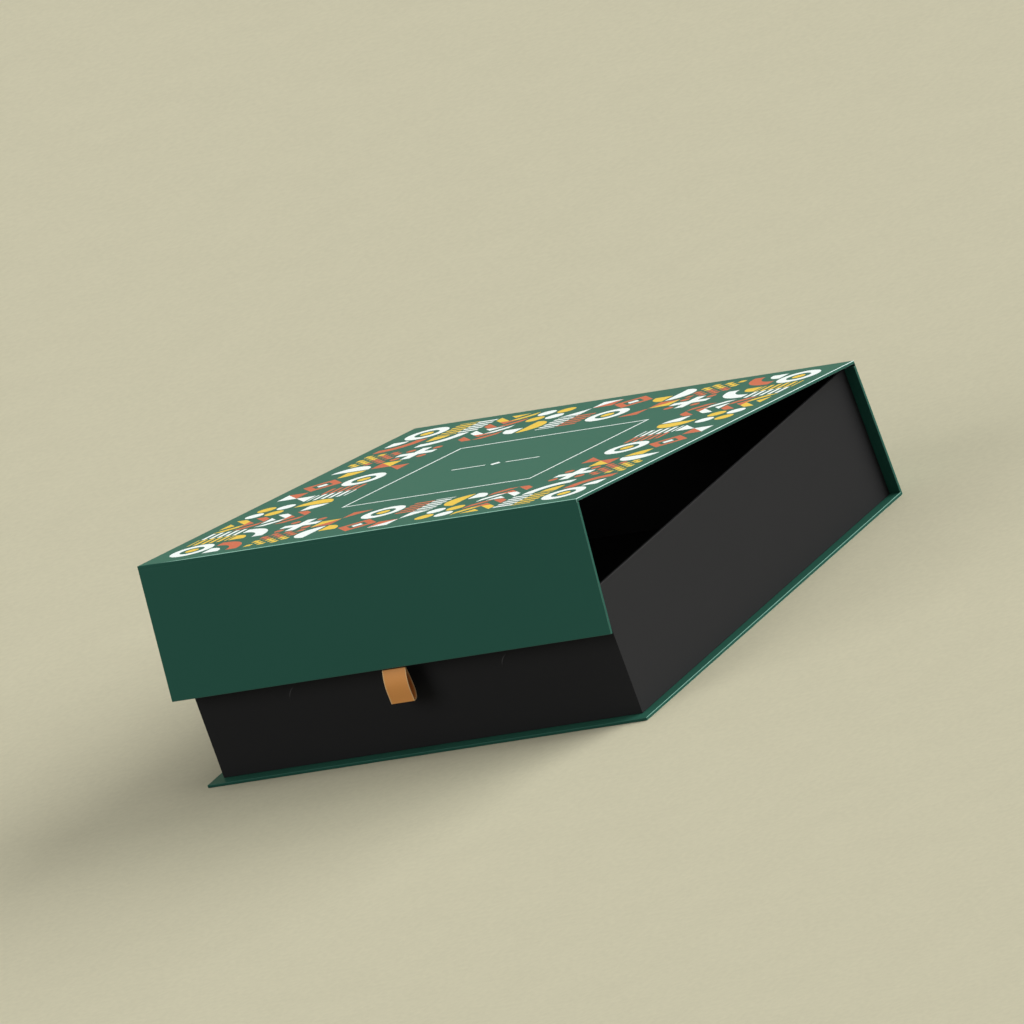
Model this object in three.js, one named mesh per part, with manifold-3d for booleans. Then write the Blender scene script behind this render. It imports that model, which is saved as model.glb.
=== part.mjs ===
// Gift box with a hinged lid: a wrapped board case (base, spine, lid, magnetic flap) round a black tray.
// Millimetres, +Z up, +X right, +Y back. The origin is the middle of the base's underside.
// Everything is laid out with the lid shut; the lid group is then turned open about its crease.

import * as THREE from 'three';
import { mergeVertices } from 'three/addons/utils/BufferGeometryUtils.js';
import Module from 'manifold-3d';

const wasm = await Module();
wasm.setup();

// Driving dimensions of the case
const caseWidth = 300;
const baseDepth = 305;
const closedHeight = 83;
const boardThickness = 1.5;
const edgeRadius = 0.6;
const turnIn = 15;
const liningInset = 4;
const lidAjarDegrees = 9.7;

// Driving dimensions of the tray
const sideLedge = 7;
const frontLedge = 7.9;
const trayBoard = 1.5;
const stayPaper = 0.1;
const stayLeg = 15;
const footTurn = 12;
const rimTurn = 45;
const linerHeight = 36.5;

// Paper, glue and running clearances
const paper = 0.12;
const glueLine = 0.05;
const hingeGap = 0.3;
const lidClearance = 1.05;
const flapClearance = 0.9;
const flapLift = 1.9;

// How far a cut runs past the face that it opens
const overrun = 1;

// Magnets and the steel discs that they hold to
const magnetDiameter = 18;
const magnetThickness = 1;
const magnetSpacing = 145;
const pocketClearance = 0.1;

// Ribbon pull
const ribbonWidth = 16;
const ribbonThickness = 0.3;
const ribbonDrop = 19;
const ribbonTail = 13;
const loopBulge = 4.6;
const loopStart = 0.9;
const loopTiltDegrees = 5;

// Fineness of round shapes
const roundSteps = 4;
const discSides = 48;
const loopSteps = 18;

// Thicknesses that the layers add up to
const ply = glueLine + paper;
const edgeThickness = boardThickness + 2 * ply;
const linedThickness = edgeThickness + ply;
const traySkin = ply + stayPaper + glueLine;

// Places of the shut case
const caseSide = caseWidth / 2;
const caseFront = -baseDepth / 2;
const caseBack = baseDepth / 2;
const lidUnderside = closedHeight - linedThickness;
const flapFace = caseFront + frontLedge - flapClearance - linedThickness;
const flapTop = lidUnderside - hingeGap;
const flapBottom = edgeThickness + flapLift;

// Places of the tray
const traySide = caseSide - sideLedge;
const trayFront = caseFront + frontLedge;
const trayBack = caseBack - edgeThickness - glueLine;
const trayBottom = edgeThickness + glueLine;
const trayRim = lidUnderside - lidClearance;
const wallBottom = trayBottom + ply;
const wallTop = trayRim - ply;
const floorTop = wallBottom + trayBoard;
const magnetX = magnetSpacing / 2;
const magnetZ = (trayBottom + trayRim) / 2;

const degree = Math.PI / 180;

// Materials, with the colours of the paper, board, steel and satin
function finish(color, roughness, metalness = 0) {
  return new THREE.MeshStandardMaterial({ color, roughness, metalness });
}

const greenPaper = () => finish(0x2f6152, 0.55);
const blackPaper = () => finish(0x222222, 0.6);
const blackLining = () => finish(0x191919, 0.65);
const greyboard = () => finish(0x8d8880, 0.9);
const kraftTape = () => finish(0xa58a64, 0.85);
const magnetSteel = () => finish(0xb9bcc0, 0.3, 1);
const satin = () => finish(0xb97b3c, 0.45);

// Solids
function toSolid(geometry) {
  const bare = geometry.index ? geometry.toNonIndexed() : geometry.clone();
  bare.deleteAttribute('normal');
  bare.deleteAttribute('uv');
  const merged = mergeVertices(bare);
  return new wasm.Manifold(new wasm.Mesh({
    numProp: 3,
    vertProperties: new Float32Array(merged.attributes.position.array),
    triVerts: new Uint32Array(merged.index.array),
  }));
}

function toGeometry(solid) {
  const { vertProperties, triVerts } = solid.getMesh();
  const geometry = new THREE.BufferGeometry();
  geometry.setAttribute('position', new THREE.BufferAttribute(new Float32Array(vertProperties), 3));
  geometry.setIndex(new THREE.BufferAttribute(new Uint32Array(triVerts), 1));
  geometry.computeVertexNormals();
  return geometry;
}

function cut(solid, ...tools) {
  return tools.reduce((rest, tool) => rest.subtract(tool), solid);
}

// A span is a low and a high value; a box is its spans along x, y and z
function box(x, y, z) {
  return { x, y, z };
}

const both = (half) => [-half, half];

// The box with every face moved inwards by a depth
function inset(outer, depth) {
  const shrink = ([low, high]) => [low + depth, high - depth];
  return box(shrink(outer.x), shrink(outer.y), shrink(outer.z));
}

function block({ x, y, z }) {
  const geometry = new THREE.BoxGeometry(x[1] - x[0], y[1] - y[0], z[1] - z[0]);
  geometry.translate((x[0] + x[1]) / 2, (y[0] + y[1]) / 2, (z[0] + z[1]) / 2);
  return toSolid(geometry);
}

// An outline drawn in the plane across an axis, extruded along that axis
function extrudeAlong(axis, outline, [from, to]) {
  const geometry = new THREE.ExtrudeGeometry(outline, {
    depth: to - from,
    bevelEnabled: false,
    curveSegments: roundSteps,
  });
  geometry.translate(0, 0, from);
  const turn = {
    x: new THREE.Matrix4().set(0, 0, 1, 0, 1, 0, 0, 0, 0, 1, 0, 0, 0, 0, 0, 1),
    y: new THREE.Matrix4().set(0, 1, 0, 0, 0, 0, 1, 0, 1, 0, 0, 0, 0, 0, 0, 1),
    z: new THREE.Matrix4(),
  };
  return toSolid(geometry.applyMatrix4(turn[axis]));
}

function roundedRectangle([left, right], [low, high], radius) {
  const shape = new THREE.Shape();
  shape.moveTo(left + radius, low);
  shape.lineTo(right - radius, low);
  shape.absarc(right - radius, low + radius, radius, -Math.PI / 2, 0);
  shape.lineTo(right, high - radius);
  shape.absarc(right - radius, high - radius, radius, 0, Math.PI / 2);
  shape.lineTo(left + radius, high);
  shape.absarc(left + radius, high - radius, radius, Math.PI / 2, Math.PI);
  shape.lineTo(left, low + radius);
  shape.absarc(left + radius, low + radius, radius, Math.PI, Math.PI * 1.5);
  return shape;
}

// A box whose edges along the named axes are rounded
function rounded(outer, radius, ...axes) {
  const plane = { x: ['y', 'z'], y: ['z', 'x'], z: ['x', 'y'] };
  return axes
    .map((axis) => {
      const [across, up] = plane[axis];
      return extrudeAlong(axis, roundedRectangle(outer[across], outer[up], radius), outer[axis]);
    })
    .reduce((whole, part) => whole.intersect(part));
}

// A short round block with its axis along y
function disc(radius, x, z, [from, to]) {
  const geometry = new THREE.CylinderGeometry(radius, radius, to - from, discSides);
  geometry.translate(x, (from + to) / 2, z);
  return toSolid(geometry);
}

function piece(name, solid, material) {
  const mesh = new THREE.Mesh(toGeometry(solid), material);
  mesh.name = name;
  return mesh;
}

// A board and the room that the wrap leaves for it share one outline: the wrapped box less the plies
function boardIn(wrapped, ...axes) {
  return rounded(inset(wrapped, ply), edgeRadius - ply, ...axes);
}

function roomIn(wrapped, ...axes) {
  return rounded(inset(wrapped, paper), edgeRadius - paper, ...axes);
}

// Base: the board with its wrap turned in over the left, right and front edges
const baseBox = box(both(caseSide), [caseFront, caseBack], [0, edgeThickness]);

function makeBase() {
  const group = new THREE.Group();
  const window = box(both(caseSide - turnIn), [caseFront + turnIn, caseBack - paper], [ply, closedHeight]);
  const wrap = cut(rounded(baseBox, edgeRadius, 'x', 'y'), roomIn(baseBox, 'x', 'y'), block(window));
  group.add(piece('base_board', boardIn(baseBox, 'x', 'y'), greyboard()));
  group.add(piece('base_wrap', wrap, greenPaper()));
  return group;
}

// Spine: stands on the base's back edge, and its wrap reaches up to the lid's crease
const spineTop = wallTop;
const spineBox = box(both(caseSide), [caseBack - edgeThickness, caseBack], [edgeThickness, spineTop]);

function makeSpine() {
  const group = new THREE.Group();
  const { x, y } = spineBox;
  const board = box(x, y, [edgeThickness - ply + glueLine, spineTop + ply]);
  const tall = box(x, y, [edgeThickness, closedHeight]);
  const room = rounded(inset(box(x, y, [0, closedHeight + edgeThickness]), paper), edgeRadius - paper, 'z');
  const innerFace = [y[0] - overrun, y[0] + edgeThickness / 2];
  const window = box(both(caseSide - turnIn), innerFace, [0, closedHeight + overrun]);
  const behindCrease = [y[0] - overrun, y[1] - paper - glueLine / 2];
  const overTop = box(both(caseWidth), behindCrease, [spineTop, closedHeight + overrun]);
  const wrap = cut(rounded(tall, edgeRadius, 'z'), room, block(window), block(overTop));
  group.add(piece('spine_board', boardIn(board, 'z'), greyboard()));
  group.add(piece('spine_wrap', wrap, greenPaper()));
  return group;
}

// Strip of lining that closes the inside of the lid's crease, over the spine and the tray's back rim
function makeHingeLining() {
  const back = caseBack - ply;
  const front = trayBack - traySkin - trayBoard;
  const strip = box(both(traySide - liningInset), [front, back], [trayRim + glueLine, trayRim + ply]);
  return piece('hinge_lining', block(strip), blackLining());
}

// Tray: four walls round a floor, corners taped, magnets' discs let into the front wall
const wallOuter = box(
  both(traySide - traySkin),
  [trayFront + traySkin, trayBack - traySkin],
  [wallBottom, wallTop],
);
const wallInner = box(
  both(wallOuter.x[1] - trayBoard),
  [wallOuter.y[0] + trayBoard, wallOuter.y[1] - trayBoard],
  wallOuter.z,
);
const magnetSides = { left: -magnetX, right: magnetX };

function makeTrayBoards() {
  const group = new THREE.Group();
  const { x, y, z } = wallOuter;
  const between = both(wallInner.x[1] - glueLine);
  const pocketRadius = magnetDiameter / 2 + pocketClearance;
  const pocketSpan = [trayFront, y[0] + magnetThickness + glueLine];
  const pockets = Object.values(magnetSides).map((place) => disc(pocketRadius, place, magnetZ, pocketSpan));
  const front = cut(block(box(x, [y[0], wallInner.y[0]], z)), ...pockets);
  const back = block(box(x, [wallInner.y[1], y[1]], z));
  const sideRun = [wallInner.y[0] + glueLine, wallInner.y[1] - glueLine];
  const floor = box(between, sideRun, [wallBottom, floorTop]);
  group.add(piece('tray_front_board', front, greyboard()));
  group.add(piece('tray_back_board', back, greyboard()));
  group.add(piece('tray_left_board', block(box([x[0], wallInner.x[0]], sideRun, z)), greyboard()));
  group.add(piece('tray_right_board', block(box([wallInner.x[1], x[1]], sideRun, z)), greyboard()));
  group.add(piece('tray_floor_board', block(floor), greyboard()));
  return group;
}

function makeTrayDiscs() {
  const group = new THREE.Group();
  const span = [wallOuter.y[0], wallOuter.y[0] + magnetThickness];
  for (const [side, place] of Object.entries(magnetSides)) {
    const solid = disc(magnetDiameter / 2, place, magnetZ, span);
    group.add(piece(`tray_magnet_${side}`, solid, magnetSteel()));
  }
  return group;
}

// An angle of tape glued round one outer corner of the walls
function makeCornerStays() {
  const group = new THREE.Group();
  const outer = glueLine + stayPaper;
  for (const [end, ySign] of [['front', -1], ['back', 1]]) {
    for (const [side, xSign] of [['left', -1], ['right', 1]]) {
      const x = xSign * wallOuter.x[1];
      const y = ySign < 0 ? wallOuter.y[0] : wallOuter.y[1];
      const span = (from, sign, out, leg) => [from + sign * out, from - sign * leg].sort((a, b) => a - b);
      const angle = box(span(x, xSign, outer, stayLeg), span(y, ySign, outer, stayLeg), wallOuter.z);
      const within = [span(x, xSign, glueLine, caseWidth), span(y, ySign, glueLine, baseDepth)];
      const room = box(...within, [0, closedHeight]);
      group.add(piece(`corner_stay_${end}_${side}`, cut(block(angle), block(room)), kraftTape()));
    }
  }
  return group;
}

// Black wrap: up the outside, over the rim, down the inside, and turned in under the foot
function makeTrayWrap() {
  const side = (depth) => both(traySide - depth);
  const run = (depth) => [trayFront + depth, trayBack - depth];
  const outside = block(box(side(0), run(0), [trayBottom, trayRim]));
  const walls = block(box(side(paper), run(paper), [trayBottom + paper, trayRim - paper]));
  const foot = block(box(side(footTurn), run(footTurn), [0, trayBottom + ply]));
  const toInner = traySkin + trayBoard + glueLine;
  const innerLeg = box(side(toInner), run(toInner), [trayRim - rimTurn, trayRim - glueLine]);
  const mouth = box(side(toInner + paper), run(toInner + paper), [0, closedHeight]);
  const shell = cut(outside, walls, foot).add(block(innerLeg));
  return piece('tray_wrap', cut(shell, block(mouth)), blackPaper());
}

// Liner: one sheet over the floor, with its edges turned up over the lower walls
function makeTrayLiner() {
  const toLiner = traySkin + trayBoard + ply + glueLine;
  const side = (depth) => both(traySide - toLiner - depth);
  const run = (depth) => [trayFront + toLiner + depth, trayBack - toLiner - depth];
  const outside = box(side(0), run(0), [floorTop + glueLine, floorTop + linerHeight]);
  const inside = box(side(paper), run(paper), [floorTop + ply, closedHeight]);
  return piece('tray_liner', cut(block(outside), block(inside)), blackLining());
}

// Lid: its board reaches over the spine and the flap, and its wrap is turned in at the sides
const lidBox = box(both(caseSide), [flapFace, caseBack], [closedHeight - edgeThickness, closedHeight]);

function makeLid() {
  const group = new THREE.Group();
  const { x, y, z } = lidBox;
  const creased = box(x, [y[0] + ply, y[1] - ply], z);
  const longer = box(x, [y[0] - ply, y[1] + ply], z);
  const window = box(both(caseSide - turnIn), y, [z[0] - overrun, z[0] + edgeThickness / 2]);
  const lining = box(
    both(caseSide - liningInset),
    [creased.y[0] + ply, creased.y[1] - ply],
    [lidUnderside, lidUnderside + paper],
  );
  const wrap = cut(rounded(creased, edgeRadius, 'y'), roomIn(longer, 'y'), block(window));
  group.add(piece('lid_board', boardIn(lidBox, 'y'), greyboard()));
  group.add(piece('lid_wrap', wrap, greenPaper()));
  group.add(piece('lid_lining', block(lining), blackLining()));
  return group;
}

// Flap: hangs from the lid's front crease, its wrap turned in at the sides and the lower edge
const flapBox = box(both(caseSide), [flapFace, flapFace + edgeThickness], [flapBottom, flapTop]);
const tailFace = flapBox.y[1] + glueLine;
const tailBack = tailFace + 2 * ribbonThickness;

function makeFlapWrap() {
  const { x, y, z } = flapBox;
  const tall = box(x, y, [z[0], closedHeight]);
  const outside = rounded(tall, edgeRadius, 'z').intersect(
    rounded(box(x, y, [z[0], closedHeight + edgeThickness]), edgeRadius, 'x'),
  );
  const reach = box(x, y, [z[0], closedHeight + edgeThickness]);
  const room = roomIn(reach, 'x', 'z');
  const innerFace = [y[0] + edgeThickness / 2, y[1] + overrun];
  const window = box(both(caseSide - turnIn), innerFace, [z[0] + turnIn, closedHeight + overrun]);
  const behindCrease = [y[0] + paper + glueLine / 2, y[1] + overrun];
  const overTop = box(both(caseWidth), behindCrease, [z[1], closedHeight + overrun]);
  return piece('flap_wrap', cut(outside, room, block(window), block(overTop)), greenPaper());
}

function makeFlapBoard() {
  const { x, y, z } = flapBox;
  const inner = y[1] - ply;
  const pocketRadius = magnetDiameter / 2 + pocketClearance;
  const span = [inner - magnetThickness - glueLine, y[1] + overrun];
  const pockets = Object.values(magnetSides).map((place) => disc(pocketRadius, place, magnetZ, span));
  const board = boardIn(box(x, y, [z[0], z[1] + ply]), 'x', 'z');
  return piece('flap_board', cut(board, ...pockets), greyboard());
}

function makeFlapMagnets() {
  const group = new THREE.Group();
  const inner = flapBox.y[1] - ply;
  for (const [side, place] of Object.entries(magnetSides)) {
    const solid = disc(magnetDiameter / 2, place, magnetZ, [inner - magnetThickness, inner]);
    group.add(piece(`flap_magnet_${side}`, solid, magnetSteel()));
  }
  return group;
}

// The lining rises over the ribbon's tails, which lie between it and the turned-in wrap
function makeFlapLining() {
  const { y, z } = flapBox;
  const face = y[1] + glueLine;
  const sheet = box(both(caseSide - liningInset), [face, face + paper], [z[0] + liningInset, z[1]]);
  const roomHalf = ribbonWidth / 2 + pocketClearance;
  const roomBack = tailBack + glueLine;
  const roomTop = flapBottom + ribbonTail + pocketClearance;
  const hump = box(both(roomHalf + paper), [face, roomBack + paper], [z[0] + liningInset, roomTop + paper]);
  const room = box(both(roomHalf), [y[0], roomBack], [0, roomTop]);
  return piece('flap_lining', cut(block(sheet).add(block(hump)), block(room)), blackLining());
}

// Ribbon: both ends lie doubled on the flap, and the loop hangs below its edge from loopPivot
const loopPivot = { y: tailFace + ribbonThickness, z: flapBottom - loopStart };

function makeRibbonTails() {
  const height = [loopPivot.z + ribbonThickness * 2, flapBottom + ribbonTail];
  return piece('ribbon_tails', block(box(both(ribbonWidth / 2), [tailFace, tailBack], height)), satin());
}

// Teardrop loop: the front ply hangs straight, and the back ply stands off it by a bulge that grows
// down the loop and closes over the last of it. Shares: the powers that place and shape the bulge.
const bulgeGrowthShare = 1.15;
const bulgeCloseShare = 0.42;

function bulgeAt(share) {
  const peak = bulgeGrowthShare / (bulgeGrowthShare + bulgeCloseShare);
  const shape = (s) => s ** bulgeGrowthShare * (1 - s) ** bulgeCloseShare;
  return loopBulge * shape(share) / shape(peak);
}

function makeRibbonLoop() {
  const length = ribbonDrop - loopStart;
  const shares = Array.from({ length: loopSteps + 1 }, (_, k) => 1 - Math.cos((k / loopSteps) * Math.PI / 2));
  const backPly = shares.map((share) => new THREE.Vector2(bulgeAt(1 - share), -length * (1 - share)));
  const outside = [
    new THREE.Vector2(-ribbonThickness, 0),
    new THREE.Vector2(-ribbonThickness, -length),
    ...backPly.map(({ x, y }) => new THREE.Vector2(x + ribbonThickness, y - ribbonThickness)),
    new THREE.Vector2(ribbonThickness, 0),
  ];
  const inside = backPly.slice(1, -1);
  const shape = new THREE.Shape(outside);
  shape.holes.push(new THREE.Path(inside));
  const loop = extrudeAlong('x', shape, both(ribbonWidth / 2));
  const mesh = piece('ribbon_loop', loop, satin());
  mesh.rotation.x = -loopTiltDegrees * degree;
  mesh.position.set(0, loopPivot.y, loopPivot.z);
  return mesh;
}

function makeFlap() {
  const group = new THREE.Group();
  group.add(makeFlapBoard(), makeFlapWrap(), makeFlapMagnets(), makeFlapLining());
  group.add(makeRibbonTails(), makeRibbonLoop());
  return group;
}

// The lid and its flap, turned open about the crease at the top of the spine
function makeOpenLid() {
  const crease = new THREE.Group();
  crease.position.set(0, caseBack, closedHeight);
  crease.rotation.x = -lidAjarDegrees * degree;
  const lid = makeLid();
  const flap = makeFlap();
  lid.position.set(0, -caseBack, -closedHeight);
  flap.position.copy(lid.position);
  crease.add(lid, flap);
  return crease;
}

const giftBox = new THREE.Group();
giftBox.add(makeBase(), makeSpine(), makeHingeLining());
giftBox.add(makeTrayBoards(), makeTrayDiscs(), makeCornerStays(), makeTrayWrap(), makeTrayLiner());
giftBox.add(makeOpenLid());

export default giftBox;
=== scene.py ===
import logging
import math
from dataclasses import dataclass, field
from enum import Enum
from typing import Callable

import bpy
import numpy as np
from mathutils import Matrix, Vector


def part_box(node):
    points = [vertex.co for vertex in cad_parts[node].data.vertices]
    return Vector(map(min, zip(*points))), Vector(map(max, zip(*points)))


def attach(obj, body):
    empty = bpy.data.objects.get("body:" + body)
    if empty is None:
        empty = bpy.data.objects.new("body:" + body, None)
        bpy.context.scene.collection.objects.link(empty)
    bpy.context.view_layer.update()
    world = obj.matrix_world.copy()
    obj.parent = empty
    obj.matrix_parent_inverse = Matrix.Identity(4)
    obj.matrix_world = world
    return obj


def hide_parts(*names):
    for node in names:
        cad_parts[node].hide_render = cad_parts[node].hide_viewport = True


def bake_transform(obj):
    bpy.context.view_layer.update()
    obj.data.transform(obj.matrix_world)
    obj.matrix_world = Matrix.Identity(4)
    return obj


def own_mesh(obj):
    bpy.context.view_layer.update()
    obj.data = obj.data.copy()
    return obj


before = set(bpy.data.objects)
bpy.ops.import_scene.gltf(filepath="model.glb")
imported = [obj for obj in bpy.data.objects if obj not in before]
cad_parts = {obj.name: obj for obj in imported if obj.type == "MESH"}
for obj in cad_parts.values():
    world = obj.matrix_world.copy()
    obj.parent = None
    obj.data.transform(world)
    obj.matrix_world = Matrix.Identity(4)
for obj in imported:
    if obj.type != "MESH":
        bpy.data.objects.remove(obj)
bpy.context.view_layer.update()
LOG = logging.getLogger("gift_box")

Colour = tuple[int, int, int]
Linear = tuple[float, float, float, float]
Direction = tuple[float, float, float]
Points = np.ndarray
FaceTest = Callable[[Points], np.ndarray]

# Points this close to a face, in metres, lie on it
ON_FACE = 1e-6
# A length under this counts as none
NO_LENGTH = 1e-9
# Grid lines that are the same to this many decimals are one line
LINE_DECIMALS = 8
# For an axis of a sheet that needs no grid lines of its own
NO_LINES = np.empty(0)
# How many widths out from its top the bell of a disc's rim is followed
BELL_REACH = 4


class Body(Enum):
    """The bodies of the frame that the pieces ride on."""

    CASE = "case_and_tray"
    LID = "lid"
    FLAP = "flap"
    RIBBON = "ribbon"


class Slot(Enum):
    """The record's material slots that new pieces belong to."""

    GREEN = "green_paper"
    BLACK = "black_paper"
    LINING = "black_lining"
    SATIN = "satin_ribbon"


class Side(Enum):
    """The sides of a box: the axis across each, and whether it is the high end of that axis."""

    LEFT = (0, False)
    RIGHT = (0, True)
    FRONT = (1, False)
    BACK = (1, True)
    BOTTOM = (2, False)
    TOP = (2, True)


# Sizes
@dataclass(frozen=True)
class Sheets:
    """Thicknesses, turns and gaps in metres that every sub-assembly shares."""

    paper: float = 0.00012
    glue: float = 0.00005
    board: float = 0.0015
    edge_radius: float = 0.00058
    turn_in: float = 0.015
    ajar: float = math.radians(9.7)

    @property
    def ply(self) -> float:
        """One sheet and its glue."""
        return self.paper + self.glue


SHEETS = Sheets()


def node_points(node: str) -> Points:
    """Gives a CAD node's points in metres.

    Args:
        node: The node's name in the frame.

    Returns:
        One row of x, y and z for each point.
    """
    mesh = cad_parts[node].data
    flat = np.empty(len(mesh.vertices) * 3)
    mesh.vertices.foreach_get("co", flat)
    return flat.reshape(-1, 3)


def node_corners(node: str) -> tuple[Points, Points]:
    """Gives the lowest and highest corners of a CAD node's box, as numbers that can be changed."""
    low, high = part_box(node)
    return np.array(low), np.array(high)


@dataclass(frozen=True)
class BackCrease:
    """The line at the top of the spine that the lid turns about."""

    y: float
    z: float

    @classmethod
    def of_frame(cls) -> "BackCrease":
        """Finds the crease at the upper rear edge of the spine's wrap."""
        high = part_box("spine_wrap")[1]
        return cls(high.y, high.z)

    def turned(self, points: Points, angle: float | np.ndarray) -> Points:
        """Turns points about the crease: y and z go round it by the angle, and x stays.

        Args:
            points: Rows of x, y and z.
            angle: Radians by which the front rises, one for all points or one each.

        Returns:
            The turned points.
        """
        y, z = points[..., 1] - self.y, points[..., 2] - self.z
        cos, sin = np.cos(angle), np.sin(angle)
        return np.stack([points[..., 0], self.y + y * cos + z * sin, self.z - y * sin + z * cos], axis=-1)

    def opened(self, points: Points) -> Points:
        """Turns points of the shut lid to where the lid stands in the photograph."""
        return self.turned(points, SHEETS.ajar)

    def shut_box(self, node: str) -> tuple[Points, Points]:
        """Gives a lid node's lowest and highest corners with the lid turned shut."""
        points = self.turned(node_points(node), -SHEETS.ajar)
        return points.min(axis=0), points.max(axis=0)


CREASE = BackCrease.of_frame()


# Surfaces
@dataclass
class Surface:
    """Points with the four-cornered faces between them.

    fold is 1 where a sheet is folded hardest and 0 where it is flat, one value a point.
    uv holds named maps, and marks holds named values, a pair or a value for each face corner or face.
    """

    points: Points
    faces: np.ndarray
    fold: np.ndarray
    uv: dict[str, np.ndarray] = field(default_factory=dict)
    marks: dict[str, np.ndarray] = field(default_factory=dict)

    def centres(self) -> Points:
        """The middle of each face."""
        return self.points[self.faces].mean(axis=1)

    def kept(self, keep: np.ndarray) -> "Surface":
        """Drops faces, and leaves the points as they are.

        Args:
            keep: True or false for each face.

        Returns:
            The surface with only the faces where keep is true.
        """
        return Surface(
            self.points,
            self.faces[keep],
            self.fold,
            {name: value[keep] for name, value in self.uv.items()},
            {name: value[keep] for name, value in self.marks.items()},
        )

    def moved(self, change: Callable[[Points], Points]) -> "Surface":
        """The surface with its points put through a change."""
        return Surface(change(self.points), self.faces, self.fold, self.uv, self.marks)


def joined(surfaces: list[Surface]) -> Surface:
    """Joins surfaces into one, with their points one after another.

    Args:
        surfaces: Surfaces that hold the same maps and marks.

    Returns:
        One surface.
    """
    starts = np.cumsum([0] + [len(one.points) for one in surfaces[:-1]])
    first = surfaces[0]
    return Surface(
        np.concatenate([one.points for one in surfaces]),
        np.concatenate([one.faces + start for one, start in zip(surfaces, starts)]),
        np.concatenate([one.fold for one in surfaces]),
        {name: np.concatenate([one.uv[name] for one in surfaces]) for name in first.uv},
        {name: np.concatenate([one.marks[name] for one in surfaces]) for name in first.marks},
    )


def welded(surface: Surface, within: float = 1e-7) -> Surface:
    """Merges the points that lie in one place, and drops the points that no face uses.

    Args:
        surface: The surface.
        within: Points are one where their coordinates round to the same multiple of this.

    Returns:
        The merged surface.
    """
    used, place = np.unique(surface.faces, return_inverse=True)
    keys = np.round(surface.points[used] / within).astype(np.int64)
    _, first, one = np.unique(keys, axis=0, return_index=True, return_inverse=True)
    faces = one.reshape(-1)[place.reshape(surface.faces.shape)]
    return Surface(surface.points[used][first], faces, surface.fold[used][first], surface.uv, surface.marks)


def grid(points: Points, fold: np.ndarray, flip: bool = False) -> Surface:
    """Joins a grid of points by faces.

    Args:
        points: Rows by columns of x, y and z. Faces look along row direction times column direction.
        fold: Rows by columns of fold values.
        flip: Turns the faces round.

    Returns:
        The surface, without maps or marks.
    """
    rows, columns = points.shape[:2]
    index = np.arange(rows * columns).reshape(rows, columns)
    corners = [index[:-1, :-1], index[1:, :-1], index[1:, 1:], index[:-1, 1:]]
    faces = np.stack(corners[::-1] if flip else corners, axis=-1).reshape(-1, 4)
    return Surface(points.reshape(-1, 3), faces, fold.reshape(-1))


def rim_lines(middle: float, reach: float, steps: int) -> np.ndarray:
    """Evenly spaced grid lines over a round rim, out to its reach on both sides of its middle."""
    return np.linspace(middle - reach, middle + reach, steps + 1)


def in_order(*lines: np.ndarray) -> np.ndarray:
    """All the lines in rising order, each once."""
    return np.unique(np.round(np.concatenate(lines), LINE_DECIMALS))


@dataclass(frozen=True)
class BoxSkin:
    """A sheet over a box, with the edges between its rounded sides turned on a squared ellipse.

    A point p of the box goes to c + R unit((p - c) / R). Here c is p held inside the box less its
    radii R on each rounded side, so a flat stays where it is and an edge becomes a round one.
    The length that unit divides by is the sum of the parts to the power, to one over the power,
    which keeps the corner of the board under the sheet.
    Lines at R tan(angle) from the flats place the points evenly round each edge.
    """

    low: Points
    high: Points
    radii: tuple[float, float, float]
    rounded: tuple[Side, ...]
    lines: tuple[np.ndarray, np.ndarray, np.ndarray] = (NO_LINES, NO_LINES, NO_LINES)
    steps: int = 4
    power: float = 3.2

    def _edge(self, axis: int, high: bool) -> float:
        """The radius at one side, or zero where that side isn't rounded."""
        return self.radii[axis] if any(side.value == (axis, high) for side in self.rounded) else 0.0

    def _lines(self, axis: int) -> np.ndarray:
        """Places the grid lines along one axis.

        Args:
            axis: 0 for x, 1 for y and 2 for z.

        Returns:
            Both ends, the lines round the edges and the sheet's own, in rising order.
        """
        turn = np.tan(np.linspace(0, math.pi / 4, self.steps + 1))
        low, high = self.low[axis], self.high[axis]
        first = low + self._edge(axis, False) * (1 - turn)
        last = high - self._edge(axis, True) * (1 - turn)
        within = self.lines[axis]
        return in_order(first, last, np.array([low, high]), within[(within > low) & (within < high)])

    def _side(self, side: Side) -> Surface:
        """Lays the grid over one side, before its edges are rounded.

        Args:
            side: The side.

        Returns:
            Its flat surface.
        """
        axis, high = side.value
        across, up = (axis + 1) % 3, (axis + 2) % 3
        a, b = np.meshgrid(self._lines(across), self._lines(up), indexing="ij")
        points = np.empty(a.shape + (3,))
        points[..., axis] = self.high[axis] if high else self.low[axis]
        points[..., across] = a
        points[..., up] = b
        return grid(points, np.zeros(a.shape), flip=not high)

    def surface(self, keep: dict[Side, FaceTest]) -> Surface:
        """Makes the sheet.

        Args:
            keep: For each side that is covered, which of its faces stay, from their middles.

        Returns:
            The sheet's outer surface.
        """
        sides = [self._side(side) for side in keep]
        kept = [one.kept(test(one.centres())) for one, test in zip(sides, keep.values())]
        flat = welded(joined(kept))
        inset_low = self.low + [self._edge(axis, False) for axis in range(3)]
        inset_high = self.high - [self._edge(axis, True) for axis in range(3)]
        core = np.clip(flat.points, inset_low, inset_high)
        scaled = (flat.points - core) / np.array(self.radii)
        length = np.linalg.norm(scaled, ord=self.power, axis=1, keepdims=True)
        turned = length > NO_LENGTH
        unit = np.divide(scaled, length, out=np.zeros_like(scaled), where=turned)
        points = np.where(turned, core + unit * np.array(self.radii), flat.points)
        steepest = np.abs(unit).max(axis=1)
        half_way = 0.5 ** (1 / self.power)
        fold = np.where(turned[:, 0], (1 - steepest) / (1 - half_way), 0)
        return Surface(points, flat.faces, np.clip(fold, 0, 1), flat.uv, flat.marks)


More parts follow.
